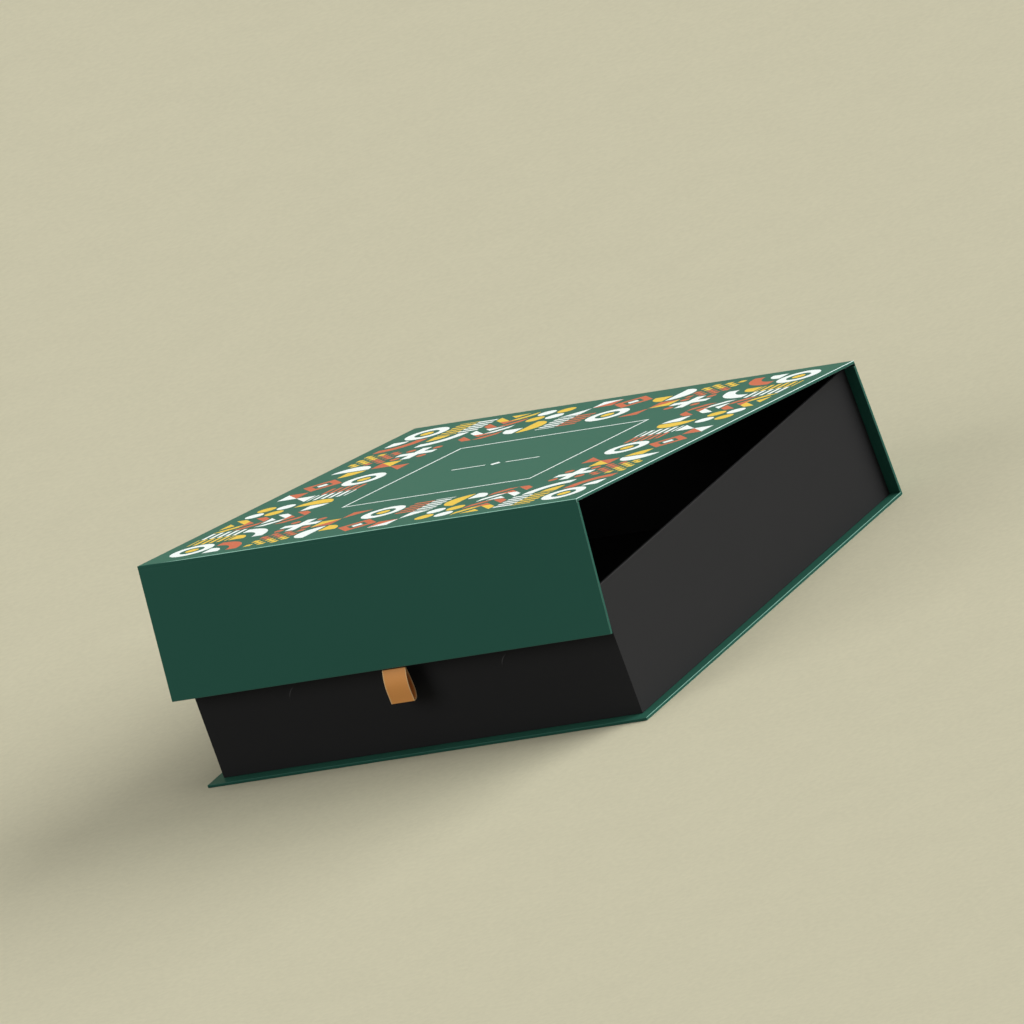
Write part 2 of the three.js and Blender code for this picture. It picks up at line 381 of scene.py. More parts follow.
def everywhere(centres: Points) -> np.ndarray:
    """Keeps every face of a side."""
    return np.ones(len(centres), bool)


def end_cap(low: Points, high: Points, radius: float, crease: Side) -> Surface:
    """The paper turned over a board's upper edge beside a crease, whose own sheet runs on upwards.

    Args:
        low: The lowest corner of the board in its wrap.
        high: The highest corner, with the cap's height as z.
        radius: The radius of the wrap's edges.
        crease: The front or back side, where the crease's sheet is.

    Returns:
        The cap, which starts a radius below its top.
    """
    low, high = low.copy(), high.copy()
    low[2] = high[2] - radius
    if crease is Side.BACK:
        tangent, bare = high[1] - radius, Side.FRONT
        high[1] -= SHEETS.paper
    else:
        tangent, bare = low[1] + radius, Side.BACK
        low[1] += SHEETS.paper
    rounded = (Side.LEFT, Side.RIGHT, bare, Side.TOP)
    skin = BoxSkin(low, high, (radius,) * 3, rounded, (NO_LINES, np.array([tangent]), NO_LINES))

    def beside(centres: Points) -> np.ndarray:
        """Keeps an end's faces up to where the crease's edge starts."""
        return (centres[:, 1] < tangent) == (crease is Side.BACK)

    return skin.surface({Side.LEFT: beside, Side.RIGHT: beside, bare: everywhere, Side.TOP: everywhere})


@dataclass(frozen=True)
class Loop:
    """A rounded rectangle that a profile is carried round.

    At an offset d inwards its corners have the radius R - d, and never less than the tight radius.
    """

    low: tuple[float, float]
    high: tuple[float, float]
    radius: float
    tight: float
    steps: int = 5

    def points(self, offset: np.ndarray, height: np.ndarray, along_x: np.ndarray) -> Points:
        """Carries a profile round the loop, counter-clockwise from the front left corner.

        Args:
            offset: The profile's distances inwards from the loop.
            height: Its heights.
            along_x: Extra grid lines across the front, as x.

        Returns:
            Profile points by path points of x, y and z, the last path point on the first.
        """
        radius = np.maximum(self.radius - offset, self.tight)[:, None]
        inset = offset[:, None] + radius
        quarter = np.linspace(0, math.pi / 2, self.steps + 1)[None, :]
        corners = [
            (self.low[0] + inset, self.low[1] + inset, math.pi),
            (self.high[0] - inset, self.low[1] + inset, math.pi * 1.5),
            (self.high[0] - inset, self.high[1] - inset, 0.0),
            (self.low[0] + inset, self.high[1] - inset, math.pi / 2),
        ]
        arcs = [
            np.stack([x + radius * np.cos(start + quarter), y + radius * np.sin(start + quarter)], axis=-1)
            for x, y, start in corners
        ]
        front_y = np.repeat(arcs[0][:, -1:, 1], len(along_x), axis=1)
        front_x = np.repeat(along_x[None, :], len(offset), axis=0)
        front = np.stack([front_x, front_y], axis=-1)
        path = np.concatenate([arcs[0], front, *arcs[1:], arcs[0][:, :1]], axis=1)
        z = np.repeat(height[:, None], path.shape[1], axis=1)
        return np.concatenate([path, z[..., None]], axis=-1)


def arc(centre: tuple[float, float], radius: float, start: float, end: float, steps: int = 5) -> np.ndarray:
    """Points along an arc in a plane, from one angle to another in degrees."""
    angle = np.radians(np.linspace(start, end, steps + 1))
    return np.stack([centre[0] + radius * np.cos(angle), centre[1] + radius * np.sin(angle)], axis=-1)


def raised_ring(
    across: np.ndarray, up: np.ndarray, radius: float, width: float, height: float
) -> np.ndarray:
    """The rim of a disc that presses through a sheet.

    Height times the bell exp(-((distance - radius) / width) squared), from the disc's middle.

    Args:
        across: Distances from the middle along the sheet.
        up: Distances from the middle up the sheet.
        radius: The rim's radius.
        width: How wide its bell is.
        height: How far it stands out.

    Returns:
        The distance outwards at each point.
    """
    distance = np.hypot(across, up)
    return height * np.exp(-(((distance - radius) / width) ** 2))


def leaning(across: np.ndarray, up: np.ndarray, towards: float, power: float) -> np.ndarray:
    """How far the rim of a leaning disc stands out, from 0 to 1.

    The share (1 + cosine of the angle from where it stands out most) / 2, to the power.

    Args:
        across: Distances from the middle along the sheet.
        up: Distances from the middle up the sheet.
        towards: Where it stands out most, in radians counter-clockwise from across.
        power: The higher, the shorter the arc.

    Returns:
        The share at each point.
    """
    distance = np.maximum(np.hypot(across, up), NO_LENGTH)
    cosine = (across * math.cos(towards) + up * math.sin(towards)) / distance
    return ((1 + cosine) / 2) ** power


def smooth(value: np.ndarray) -> np.ndarray:
    """A smooth step from 0 to 1: 3 v squared less 2 v cubed, with v held from 0 to 1."""
    held = np.clip(value, 0, 1)
    return held * held * (3 - 2 * held)


@dataclass(frozen=True)
class Piece:
    """How a surface becomes an object of the scene."""

    name: str
    body: Body | None
    slot: Slot
    stands_for: tuple[str, ...] = ()
    thickness: float = SHEETS.paper
    flats_weight: int = 50

    def mesh(self, surface: Surface, materials: tuple[bpy.types.Material, ...]) -> bpy.types.Mesh:
        """Makes the mesh, with its fold values, maps and marks.

        Args:
            surface: The outer surface, with its doubles merged.
            materials: The materials, the face mark "material" choosing between them.

        Returns:
            The mesh.
        """
        mesh = bpy.data.meshes.new(self.name)
        mesh.from_pydata(surface.points.tolist(), [], surface.faces.tolist())
        for material in materials:
            mesh.materials.append(material)
        fold = mesh.attributes.new("fold", "FLOAT", "POINT")
        fold.data.foreach_set("value", surface.fold.astype(np.float32))
        for name, value in surface.uv.items():
            layer = mesh.uv_layers.new(name=name)
            layer.data.foreach_set("uv", value.reshape(-1).astype(np.float32))
        for name, value in surface.marks.items():
            if name == "material":
                mesh.polygons.foreach_set("material_index", value.astype(np.int32))
            else:
                mark = mesh.attributes.new(name, "FLOAT", "FACE")
                mark.data.foreach_set("value", value.astype(np.float32))
        mesh.polygons.foreach_set("use_smooth", np.ones(len(surface.faces), bool))
        mesh.validate()
        mesh.update()
        return mesh

    def make(self, surface: Surface, *materials: bpy.types.Material) -> bpy.types.Object:
        """Makes the object, gives it its thickness and puts it on its body.

        Args:
            surface: The outer surface; the thickness goes inwards from it.
            materials: The materials, the face mark "material" choosing between them.

        Returns:
            The object.
        """
        mesh = self.mesh(welded(surface), materials)
        piece = bpy.data.objects.new(self.name, mesh)
        bpy.context.scene.collection.objects.link(piece)
        solidify = piece.modifiers.new("Thickness", "SOLIDIFY")
        solidify.thickness = self.thickness
        solidify.offset = -1
        solidify.use_even_offset = True
        piece.modifiers.new("Flats", "WEIGHTED_NORMAL").weight = self.flats_weight
        if self.body is not None:
            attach(piece, self.body.value)
        if self.stands_for:
            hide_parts(*self.stands_for)
        place = self.body.value if self.body else "a crease"
        LOG.info("%s: %d faces on %s", self.name, len(mesh.polygons), place)
        return piece


# Shader graphs
class Sum:
    """A number that a shader graph works out, written with ordinary signs."""

    def __init__(self, tree: bpy.types.NodeTree, socket: bpy.types.NodeSocket) -> None:
        """Holds a socket of a tree."""
        self.tree = tree
        self.socket = socket

    def math(self, operation: str, *others: "Sum | float") -> "Sum":
        """Puts the number and others through a Math node.

        Args:
            operation: The Math node's operation.
            others: The further operands.

        Returns:
            The result.
        """
        node = self.tree.nodes.new("ShaderNodeMath")
        node.operation = operation
        self.tree.links.new(self.socket, node.inputs[0])
        for place, other in enumerate(others, 1):
            if isinstance(other, Sum):
                self.tree.links.new(other.socket, node.inputs[place])
            else:
                node.inputs[place].default_value = other
        return Sum(self.tree, node.outputs[0])

    def __add__(self, other: "Sum | float") -> "Sum":
        """Adds."""
        return self.math("ADD", other)

    def __sub__(self, other: "Sum | float") -> "Sum":
        """Subtracts."""
        return self.math("SUBTRACT", other)

    def __mul__(self, other: "Sum | float") -> "Sum":
        """Multiplies."""
        return self.math("MULTIPLY", other)

    def __lt__(self, other: "Sum | float") -> "Sum":
        """Is 1 where the number is less, else 0."""
        return self.math("LESS_THAN", other)

    def __gt__(self, other: "Sum | float") -> "Sum":
        """Is 1 where the number is more, else 0."""
        return self.math("GREATER_THAN", other)

    def __abs__(self) -> "Sum":
        """Drops the sign."""
        return self.math("ABSOLUTE")

    def part(self) -> "Sum":
        """The part after the point."""
        return self.math("FRACT")

    def least(self, other: "Sum | float") -> "Sum":
        """The smaller of two."""
        return self.math("MINIMUM", other)

    def most(self, other: "Sum | float") -> "Sum":
        """The larger of two."""
        return self.math("MAXIMUM", other)

    def held(self) -> "Sum":
        """The number, held from 0 to 1."""
        return self.least(1.0).most(0.0)

    def same(self, other: "Sum | float", within: float = 0.3) -> "Sum":
        """Is 1 where two whole numbers are the same, else 0."""
        return self.math("COMPARE", other, within)

    def far(self, other: "Sum") -> "Sum":
        """The length of the pair."""
        return (self * self + other * other).math("SQRT")

    def between(self, low: float, high: float) -> "Sum":
        """Is 1 from low to high, else 0."""
        return (self > low) * (self < high)


def linear(colour: Colour) -> Linear:
    """Turns a colour as a screen shows it into the shader's linear values.

    The screen's own curve: a straight foot under 0.04045, and a power of 2.4 above it.

    Args:
        colour: Red, green and blue from 0 to 255.

    Returns:
        Red, green, blue and full cover, from 0 to 1.
    """
    share = np.array(colour) / 255
    value = np.where(share <= 0.04045, share / 12.92, ((share + 0.055) / 1.055) ** 2.4)
    return (float(value[0]), float(value[1]), float(value[2]), 1.0)


@dataclass(frozen=True)
class Noise:
    """A noise: its bumps a metre, and how many finer layers it has."""

    scale: float | Sum
    detail: float


@dataclass(frozen=True)
class Relief:
    """A bump: what its full height stands for, in metres, and how strongly it shows."""

    distance: float
    strength: float


# Where a Mix node keeps the share, both colours and the mixed colour
MIX_SHARE, MIX_FIRST, MIX_SECOND, MIX_RESULT = 0, 6, 7, 2


class Graph:
    """A tree of shader nodes with short ways to add what the finishes use."""

    def __init__(self, tree: bpy.types.NodeTree) -> None:
        """Holds the tree."""
        self.tree = tree

    def node(self, kind: str, **settings: object) -> bpy.types.Node:
        """Adds a node.

        Args:
            kind: The node's type, without its ShaderNode.
            settings: Properties of the node.

        Returns:
            The node.
        """
        node = self.tree.nodes.new(f"ShaderNode{kind}")
        for name, value in settings.items():
            setattr(node, name, value)
        return node

    def link(self, source: bpy.types.NodeSocket, target: bpy.types.NodeSocket) -> None:
        """Links two sockets."""
        self.tree.links.new(source, target)

    def set(self, node: bpy.types.Node, **values: object) -> bpy.types.Node:
        """Sets a node's inputs, a link for a socket and a number or colour otherwise.

        Args:
            node: The node.
            values: Input names with _ for each space.

        Returns:
            The node.
        """
        for name, value in values.items():
            socket = node.inputs[name.replace("_", " ")]
            if isinstance(value, Sum):
                self.link(value.socket, socket)
            elif isinstance(value, bpy.types.NodeSocket):
                self.link(value, socket)
            else:
                socket.default_value = value
        return node

    def place(self) -> bpy.types.NodeSocket:
        """The point on the piece, in metres."""
        return self.node("TexCoord").outputs["Object"]

    def noise(self, vector: bpy.types.NodeSocket, noise: Noise) -> Sum:
        """Adds a noise from 0 to 1.

        Args:
            vector: Where it is read.
            noise: Its scale and detail.

        Returns:
            The noise.
        """
        node = self.set(self.node("TexNoise"), Vector=vector, Scale=noise.scale, Detail=noise.detail)
        return Sum(self.tree, node.outputs["Fac"])

    def attribute(self, name: str) -> Sum:
        """A named value of the mesh."""
        return Sum(self.tree, self.node("Attribute", attribute_name=name).outputs["Fac"])

    def mixed(
        self,
        share: Sum,
        first: bpy.types.NodeSocket | Linear,
        second: bpy.types.NodeSocket | Linear,
    ) -> bpy.types.NodeSocket:
        """Mixes two colours.

        Args:
            share: 0 for the first and 1 for the second.
            first: A colour or a socket.
            second: A colour or a socket.

        Returns:
            The mixed colour.
        """
        node = self.node("Mix", data_type="RGBA")
        self.link(share.socket, node.inputs[MIX_SHARE])
        for place, colour in ((MIX_FIRST, first), (MIX_SECOND, second)):
            if isinstance(colour, bpy.types.NodeSocket):
                self.link(colour, node.inputs[place])
            else:
                node.inputs[place].default_value = colour
        return node.outputs[MIX_RESULT]


# Effects
@dataclass(frozen=True)
class Effect:
    """A node group with named inputs and outputs, built once and placed wherever it is used."""

    name: str
    inputs: dict[str, float]
    outputs: tuple[str, ...]
    fill: Callable[[Graph, dict[str, Sum]], dict[str, Sum]]

    def group(self) -> bpy.types.NodeTree:
        """Gives the group, and builds it the first time.

        Returns:
            The group's tree.
        """
        made = bpy.data.node_groups.get(self.name)
        if made is not None:
            return made
        tree = bpy.data.node_groups.new(self.name, "ShaderNodeTree")
        for name, value in self.inputs.items():
            socket = tree.interface.new_socket(name, in_out="INPUT", socket_type="NodeSocketFloat")
            socket.default_value = value
        for name in self.outputs:
            tree.interface.new_socket(name, in_out="OUTPUT", socket_type="NodeSocketFloat")
        entry = tree.nodes.new("NodeGroupInput")
        way_out = tree.nodes.new("NodeGroupOutput")
        given = {name: Sum(tree, entry.outputs[name]) for name in self.inputs}
        for name, result in self.fill(Graph(tree), given).items():
            tree.links.new(result.socket, way_out.inputs[name])
        return tree

    def use(self, graph: Graph, **values: Sum | float) -> dict[str, Sum]:
        """Places the group in a material.

        Args:
            graph: The material's graph.
            values: The group's inputs.

        Returns:
            Its outputs by name.
        """
        node = graph.node("Group", node_tree=self.group())
        graph.set(node, **values)
        return {name: Sum(graph.tree, node.outputs[name]) for name in self.outputs}


# Noises and shares of the effects
FIBRE_DETAIL = 3.0
CLOUDS = Noise(18.0, 3.0)
SPECKS = Noise(900.0, 1.0)
WAVES = Noise(60.0, 1.0)
PATCHES = Noise(120.0, 3.0)
WEAR_AND_HIGHLIGHT_RAMP = 4.0
RIB_SHARE = 0.6
THREAD_SLANT = 0.5


def fill_grain(graph: Graph, given: dict[str, Sum]) -> dict[str, Sum]:
    """Paper grain: fibres and waves for the height, and clouds and specks for the tone.

    Args:
        graph: The group's graph.
        given: The group's inputs.

    Returns:
        The height, and the tone round a half.
    """
    place = graph.place()
    fibres = graph.noise(place, Noise(given["Fibres"], FIBRE_DETAIL))
    waves = graph.noise(place, WAVES)
    clouds = graph.noise(place, CLOUDS)
    specks = graph.noise(place, SPECKS)
    height = fibres * given["Fibre height"] + waves * given["Wave height"]
    tone = (clouds - 0.5) * given["Clouds"] + (specks - 0.5) * given["Specks"] + 0.5
    return {"Height": height, "Tone": tone}


GRAIN = Effect(
    "Paper grain",
    {"Fibres": 2500.0, "Fibre height": 1.0, "Wave height": 1.0, "Clouds": 0.5, "Specks": 0.2},
    ("Height", "Tone"),
    fill_grain,
)


def fill_wear_and_highlight(graph: Graph, given: dict[str, Sum]) -> dict[str, Sum]:
    """Paler folds, partly worn paper and partly painted highlight: the fold value past a level, broken up
    by slow noise.

    Args:
        graph: The group's graph.
        given: The group's inputs.

    Returns:
        The mask, 1 where the fold is palest.
    """
    patches = graph.noise(graph.place(), PATCHES)
    past = ((given["Fold"] - given["From"]) * WEAR_AND_HIGHLIGHT_RAMP).held()
    mask = past * ((patches - 0.5) * given["Breakup"] + 1.0)
    return {"Mask": mask.held()}


# Paler folds: worn paper and painted highlight
WEAR_AND_HIGHLIGHT = Effect("Fold wear", {"Fold": 0.0, "From": 0.25, "Breakup": 0.5}, ("Mask",), fill_wear_and_highlight)


def fill_weave(graph: Graph, given: dict[str, Sum]) -> dict[str, Sum]:
    """Satin weave: waves of ribs along the ribbon, and slanting waves of threads.

    Args:
        graph: The group's graph.
        given: The group's inputs.

    Returns:
        The height, and the threads' tone from 0 to 1.
    """
    across, along = given["Across"], given["Along"]
    rib = ((along * given["Ribs"]) * math.tau).math("SINE")
    slanting = across * given["Threads"] + along * given["Ribs"] * THREAD_SLANT
    thread = (slanting * math.tau).math("SINE")
    return {"Height": rib * RIB_SHARE + thread * (1 - RIB_SHARE), "Tone": thread * 0.5 + 0.5}


WEAVE = Effect(
    "Satin weave",
    {"Across": 0.0, "Along": 0.0, "Ribs": 2600.0, "Threads": 3600.0},
    ("Height", "Tone"),
    fill_weave,
)


# Finishes
def new_material(name: str) -> tuple[bpy.types.Material, Graph, bpy.types.Node]:
    """Starts a material with a Principled shader.

    Args:
        name: The material's name.

    Returns:
        The material, its graph and the shader.
    """
    material = bpy.data.materials.new(name)
    material.use_nodes = True
    graph = Graph(material.node_tree)
    return material, graph, material.node_tree.nodes["Principled BSDF"]


def add_bump(graph: Graph, shader: bpy.types.Node, height: Sum, relief: Relief) -> None:
    """Feeds a height to the shader's normal.

    Args:
        graph: The material's graph.
        shader: The Principled shader.
        height: The height from 0 to 1.
        relief: How high and how strong it is.
    """
    bump = graph.set(graph.node("Bump"), Height=height, Distance=relief.distance, Strength=relief.strength)
    graph.link(bump.outputs["Normal"], shader.inputs["Normal"])


@dataclass(frozen=True)
class PaperFinish:
    """Covering paper: a dyed sheet with fine grain, a little uneven, and paler along its folds, partly from
    worn paper and, in most finishes, from a painted highlight.
    """

    name: str
    colour: Colour
    dark: Colour
    rubbed: Colour
    rub: float
    rub_from: float = 0.25
    roughness: float = 0.5
    specular: float = 0.06
    relief: Relief = Relief(0.00004, 0.35)

    def tone(self, graph: Graph) -> tuple[bpy.types.NodeSocket, Sum]:
        """Works out the sheet's colour and its grain.

        Args:
            graph: The material's graph.

        Returns:
            The colour, and the grain's height.
        """
        grain = GRAIN.use(graph)
        # The fold mask paints worn paper and, in most finishes, a painted highlight along the folds
        wear_and_highlight = WEAR_AND_HIGHLIGHT.use(graph, Fold=graph.attribute("fold"), From=self.rub_from)
        body = graph.mixed(grain["Tone"], linear(self.dark), linear(self.colour))
        return graph.mixed(wear_and_highlight["Mask"] * self.rub, body, linear(self.rubbed)), grain["Height"]

    def material(self) -> bpy.types.Material:
        """Builds the material.

        Returns:
            The material.
        """
        material, graph, shader = new_material(self.name)
        colour, height = self.tone(graph)
        self.finish(graph, shader, colour, height)
        return material

    def finish(
        self, graph: Graph, shader: bpy.types.Node, colour: bpy.types.NodeSocket, height: Sum
    ) -> None:
        """Sets the shader.

        Args:
            graph: The material's graph.
            shader: The Principled shader.
            colour: The sheet's colour.
            height: The grain's height.
        """
        graph.set(shader, Base_Color=colour, Roughness=self.roughness, Specular_IOR_Level=self.specular)
        add_bump(graph, shader, height, self.relief)


class Motif(Enum):
    """The tile motifs of the printed border."""

    ARCS = 0
    TARGET = 1
    PINWHEEL = 2
    DIAMOND = 3
    MOONS = 4
    DISCS = 5
    CROSS = 6
    STRIPES = 7
    CHECKS = 8
    CHEVRONS = 9


class Ink(Enum):
    """The inks of the printed border."""

    WHITE = 0
    YELLOW = 1
    ORANGE = 2


@dataclass(frozen=True)
class MotifSizes:
    """The motifs' sizes in a tile whose sides are at -1 and 1, a pair being an inner and an outer edge."""

    fan: float = 0.8
    fan_band: tuple[float, float] = (1.2, 1.75)
    target_band: tuple[float, float] = (0.55, 0.98)
    target_eye: float = 0.3
    diamond_band: tuple[float, float] = (0.55, 1.0)
    diamond_eye: float = 0.3
    moon: float = 0.96
    moon_gap: float = 0.08
    disc: float = 0.42
    disc_place: float = 0.5
    bar: float = 0.24
    bar_end: float = 0.95
    dot: float = 0.22
    dot_place: float = 0.68
    stripes: float = 2.5
    stripe_start: float = 0.25
    checks: float = 1.5
    chevron_start: float = 2.0


MOTIF_SIZES = MotifSizes()


def motif_masks(motif: Motif, u: Sum, v: Sum) -> tuple[Sum, Sum]:
    """Draws one motif in a tile whose sides are at -1 and 1.

    Args:
        motif: Which one.
        u: Place along the tile.
        v: Place up the tile.

    Returns:
        Where the first ink lies, and where the second does.
    """
    size = MOTIF_SIZES
    wide, tall = abs(u), abs(v)
    turn = (u * v) > 0.0
    match motif:
        case Motif.ARCS:
            corner = (u + 1.0).far(v + 1.0)
            return corner < size.fan, corner.between(*size.fan_band)
        case Motif.TARGET:
            middle = u.far(v)
            return middle.between(*size.target_band), middle < size.target_eye
        case Motif.PINWHEEL:
            steep = tall > wide
            return turn * steep, (turn * (u < 0.0)) * (wide > tall)
        case Motif.DIAMOND:
            spread = wide + tall
            return spread.between(*size.diamond_band), spread < size.diamond_eye
        case Motif.MOONS:
            middle = u.far(v) < size.moon
            return middle * (u < -size.moon_gap), middle * (u > size.moon_gap) * (v > 0.0)
        case Motif.DISCS:
            disc = (wide - size.disc_place).far(tall - size.disc_place) < size.disc
            return disc * turn, disc * (turn < 0.5)
        case Motif.CROSS:
            bar = wide.least(tall) < size.bar
            dot = (wide - size.dot_place).far(tall - size.dot_place) < size.dot
            return bar * (wide.most(tall) < size.bar_end), dot
        case Motif.STRIPES:
            band = (v * size.stripes + size.stripe_start).part() < 0.5
            return band * (u < 0.0), (band < 0.5) * (u > 0.0)
        case Motif.CHECKS:
            across, up = ((one * size.checks).part() < 0.5 for one in (u, v))
            check = across.same(up)
            return check * (v < 0.0), check * (v > 0.0)
        case Motif.CHEVRONS:
            band = (wide + v + size.chevron_start).part() < 0.5
            return band * (v > 0.0), band * (v < 0.0)


@dataclass(frozen=True)
class PrintFinish(PaperFinish):
    """Covering paper with a printed border of tiles and a thin square line round a bare middle."""

    white: Colour = (248, 255, 252)
    yellow: Colour = (240, 202, 80)
    orange: Colour = (206, 111, 81)
    line_half: float = 0.0645
    line_width: float = 0.0014
    divider_half: float = 0.030
    lozenge: float = 0.0035

    def material(self) -> bpy.types.Material:
        """Builds the material.

        Returns:
            The material.
        """
        material, graph, shader = new_material(self.name)
        body, height = self.tone(graph)
        inks = self.border(graph, body)
        colour = graph.mixed(self.middle(graph), inks, linear(self.white))
        self.finish(graph, shader, colour, height)
        return material

    def border(self, graph: Graph, body: bpy.types.NodeSocket) -> bpy.types.NodeSocket:
        """Prints the tiles over the sheet's colour.

        Args:
            graph: The material's graph.
            body: The sheet's colour.

        Returns:
            The printed colour.
        """
        tile = graph.node("UVMap", uv_map="tile").outputs["UV"]
        parts = graph.set(graph.node("SeparateXYZ"), Vector=tile)
        u = Sum(graph.tree, parts.outputs["X"]) * 2.0 - 1.0
        v = Sum(graph.tree, parts.outputs["Y"]) * 2.0 - 1.0
        chosen = graph.attribute("motif")
        first, second = None, None
        for motif in Motif:
            here = chosen.same(float(motif.value))
            one, two = motif_masks(motif, u, v)
            first = one * here if first is None else first + one * here
            second = two * here if second is None else second + two * here
        colour = graph.mixed(first, body, self.ink(graph, "first_ink"))
        return graph.mixed(second, colour, self.ink(graph, "second_ink"))

    def ink(self, graph: Graph, mark: str) -> bpy.types.NodeSocket:
        """Chooses an ink.

        Args:
            graph: The material's graph.
            mark: The face mark that holds the ink's number.

        Returns:
            The ink's colour.
        """
        number = graph.attribute(mark)
        warm = graph.mixed(number > Ink.YELLOW.value + 0.5, linear(self.yellow), linear(self.orange))
        return graph.mixed(number > Ink.WHITE.value + 0.5, linear(self.white), warm)

    def middle(self, graph: Graph) -> Sum:
        """Draws the square line, and the divider of two short lines and a lozenge inside it.

        Args:
            graph: The material's graph.

        Returns:
            Where they lie.
        """
        sheet = graph.node("UVMap", uv_map="sheet").outputs["UV"]
        parts = graph.set(graph.node("SeparateXYZ"), Vector=sheet)
        across = abs(Sum(graph.tree, parts.outputs["X"]))
        up = abs(Sum(graph.tree, parts.outputs["Y"]))
        square = across.most(up).between(self.line_half - self.line_width, self.line_half)
        lozenge = (across + up) < self.lozenge
        line = across.between(2 * self.lozenge, self.divider_half) * (up < self.line_width / 2)
        return square + lozenge + line


@dataclass(frozen=True)
class BoardFinish:
    """Grey recycled board or brown tape: flecks of darker and paler fibre in a dull ground."""

    name: str
    colour: Colour
    fleck: Colour
    roughness: float = 0.9
    specular: float = 0.2
    flecks: Noise = Noise(1500.0, 4.0)
    fleck_stretch: Direction = (1.0, 0.35, 1.0)
    fleck_level: float = 0.45
    fleck_contrast: float = 2.2
    clouds: float = 0.3
    relief: Relief = Relief(0.00006, 0.5)

    def material(self) -> bpy.types.Material:
        """Builds the material.

        Returns:
            The material.
        """
        material, graph, shader = new_material(self.name)
        stretched = graph.set(graph.node("Mapping"), Vector=graph.place(), Scale=self.fleck_stretch)
        flecks = graph.noise(stretched.outputs["Vector"], self.flecks)
        grain = GRAIN.use(graph, Clouds=self.clouds)
        share = (flecks - self.fleck_level) * self.fleck_contrast
        colour = graph.mixed(share, linear(self.colour), linear(self.fleck))
        graph.set(shader, Base_Color=colour, Roughness=self.roughness, Specular_IOR_Level=self.specular)
        add_bump(graph, shader, grain["Height"] + flecks, self.relief)
        return material


@dataclass(frozen=True)
class SteelFinish:
    """Plated magnet discs: bright metal with fine turning marks and a few dull spots."""

    name: str
    colour: Colour
    dull: Colour
    marks: Noise = Noise(2200.0, 2.0)
    spots: Noise = Noise(260.0, 3.0)
    roughness: float = 0.2
    mark_roughness: float = 0.2
    relief: Relief = Relief(0.00001, 0.3)

    def material(self) -> bpy.types.Material:
        """Builds the material.

        Returns:
            The material.
        """
        material, graph, shader = new_material(self.name)
        place = graph.place()
        marks = graph.noise(place, self.marks)
        colour = graph.mixed(graph.noise(place, self.spots), linear(self.colour), linear(self.dull))
        rough = marks * self.mark_roughness + self.roughness
        graph.set(shader, Base_Color=colour, Roughness=rough, Metallic=1.0)
        add_bump(graph, shader, marks, self.relief)
        return material


@dataclass(frozen=True)
class SatinFinish:
    """Satin ribbon: close ribs, a soft sheen, and paler selvedges."""

    name: str
    colour: Colour
    deep: Colour
    selvedge: Colour
    half_width: float = 0.008
    selvedge_width: float = 0.0006
    selvedge_share: float = 0.8
    thread_contrast: float = 0.5
    roughness: float = 0.5
    specular: float = 0.35
    sheen: float = 0.15
    relief: Relief = Relief(0.00003, 0.4)

    def material(self) -> bpy.types.Material:
        """Builds the material.

        Returns:
            The material.
        """
        material, graph, shader = new_material(self.name)
        place = graph.node("UVMap", uv_map="weave").outputs["UV"]
        parts = graph.set(graph.node("SeparateXYZ"), Vector=place)
        across, along = Sum(graph.tree, parts.outputs["X"]), Sum(graph.tree, parts.outputs["Y"])
        weave = WEAVE.use(graph, Across=across, Along=along)
        thread = weave["Tone"] * self.thread_contrast + (1 - self.thread_contrast) / 2
        cloth = graph.mixed(thread, linear(self.deep), linear(self.colour))
        edge = abs(across) > (self.half_width - self.selvedge_width)
        colour = graph.mixed(edge * self.selvedge_share, cloth, linear(self.selvedge))
        graph.set(shader, Base_Color=colour, Roughness=self.roughness, Specular_IOR_Level=self.specular)
        graph.set(shader, Sheen_Weight=self.sheen)
        add_bump(graph, shader, weave["Height"], self.relief)
        return material


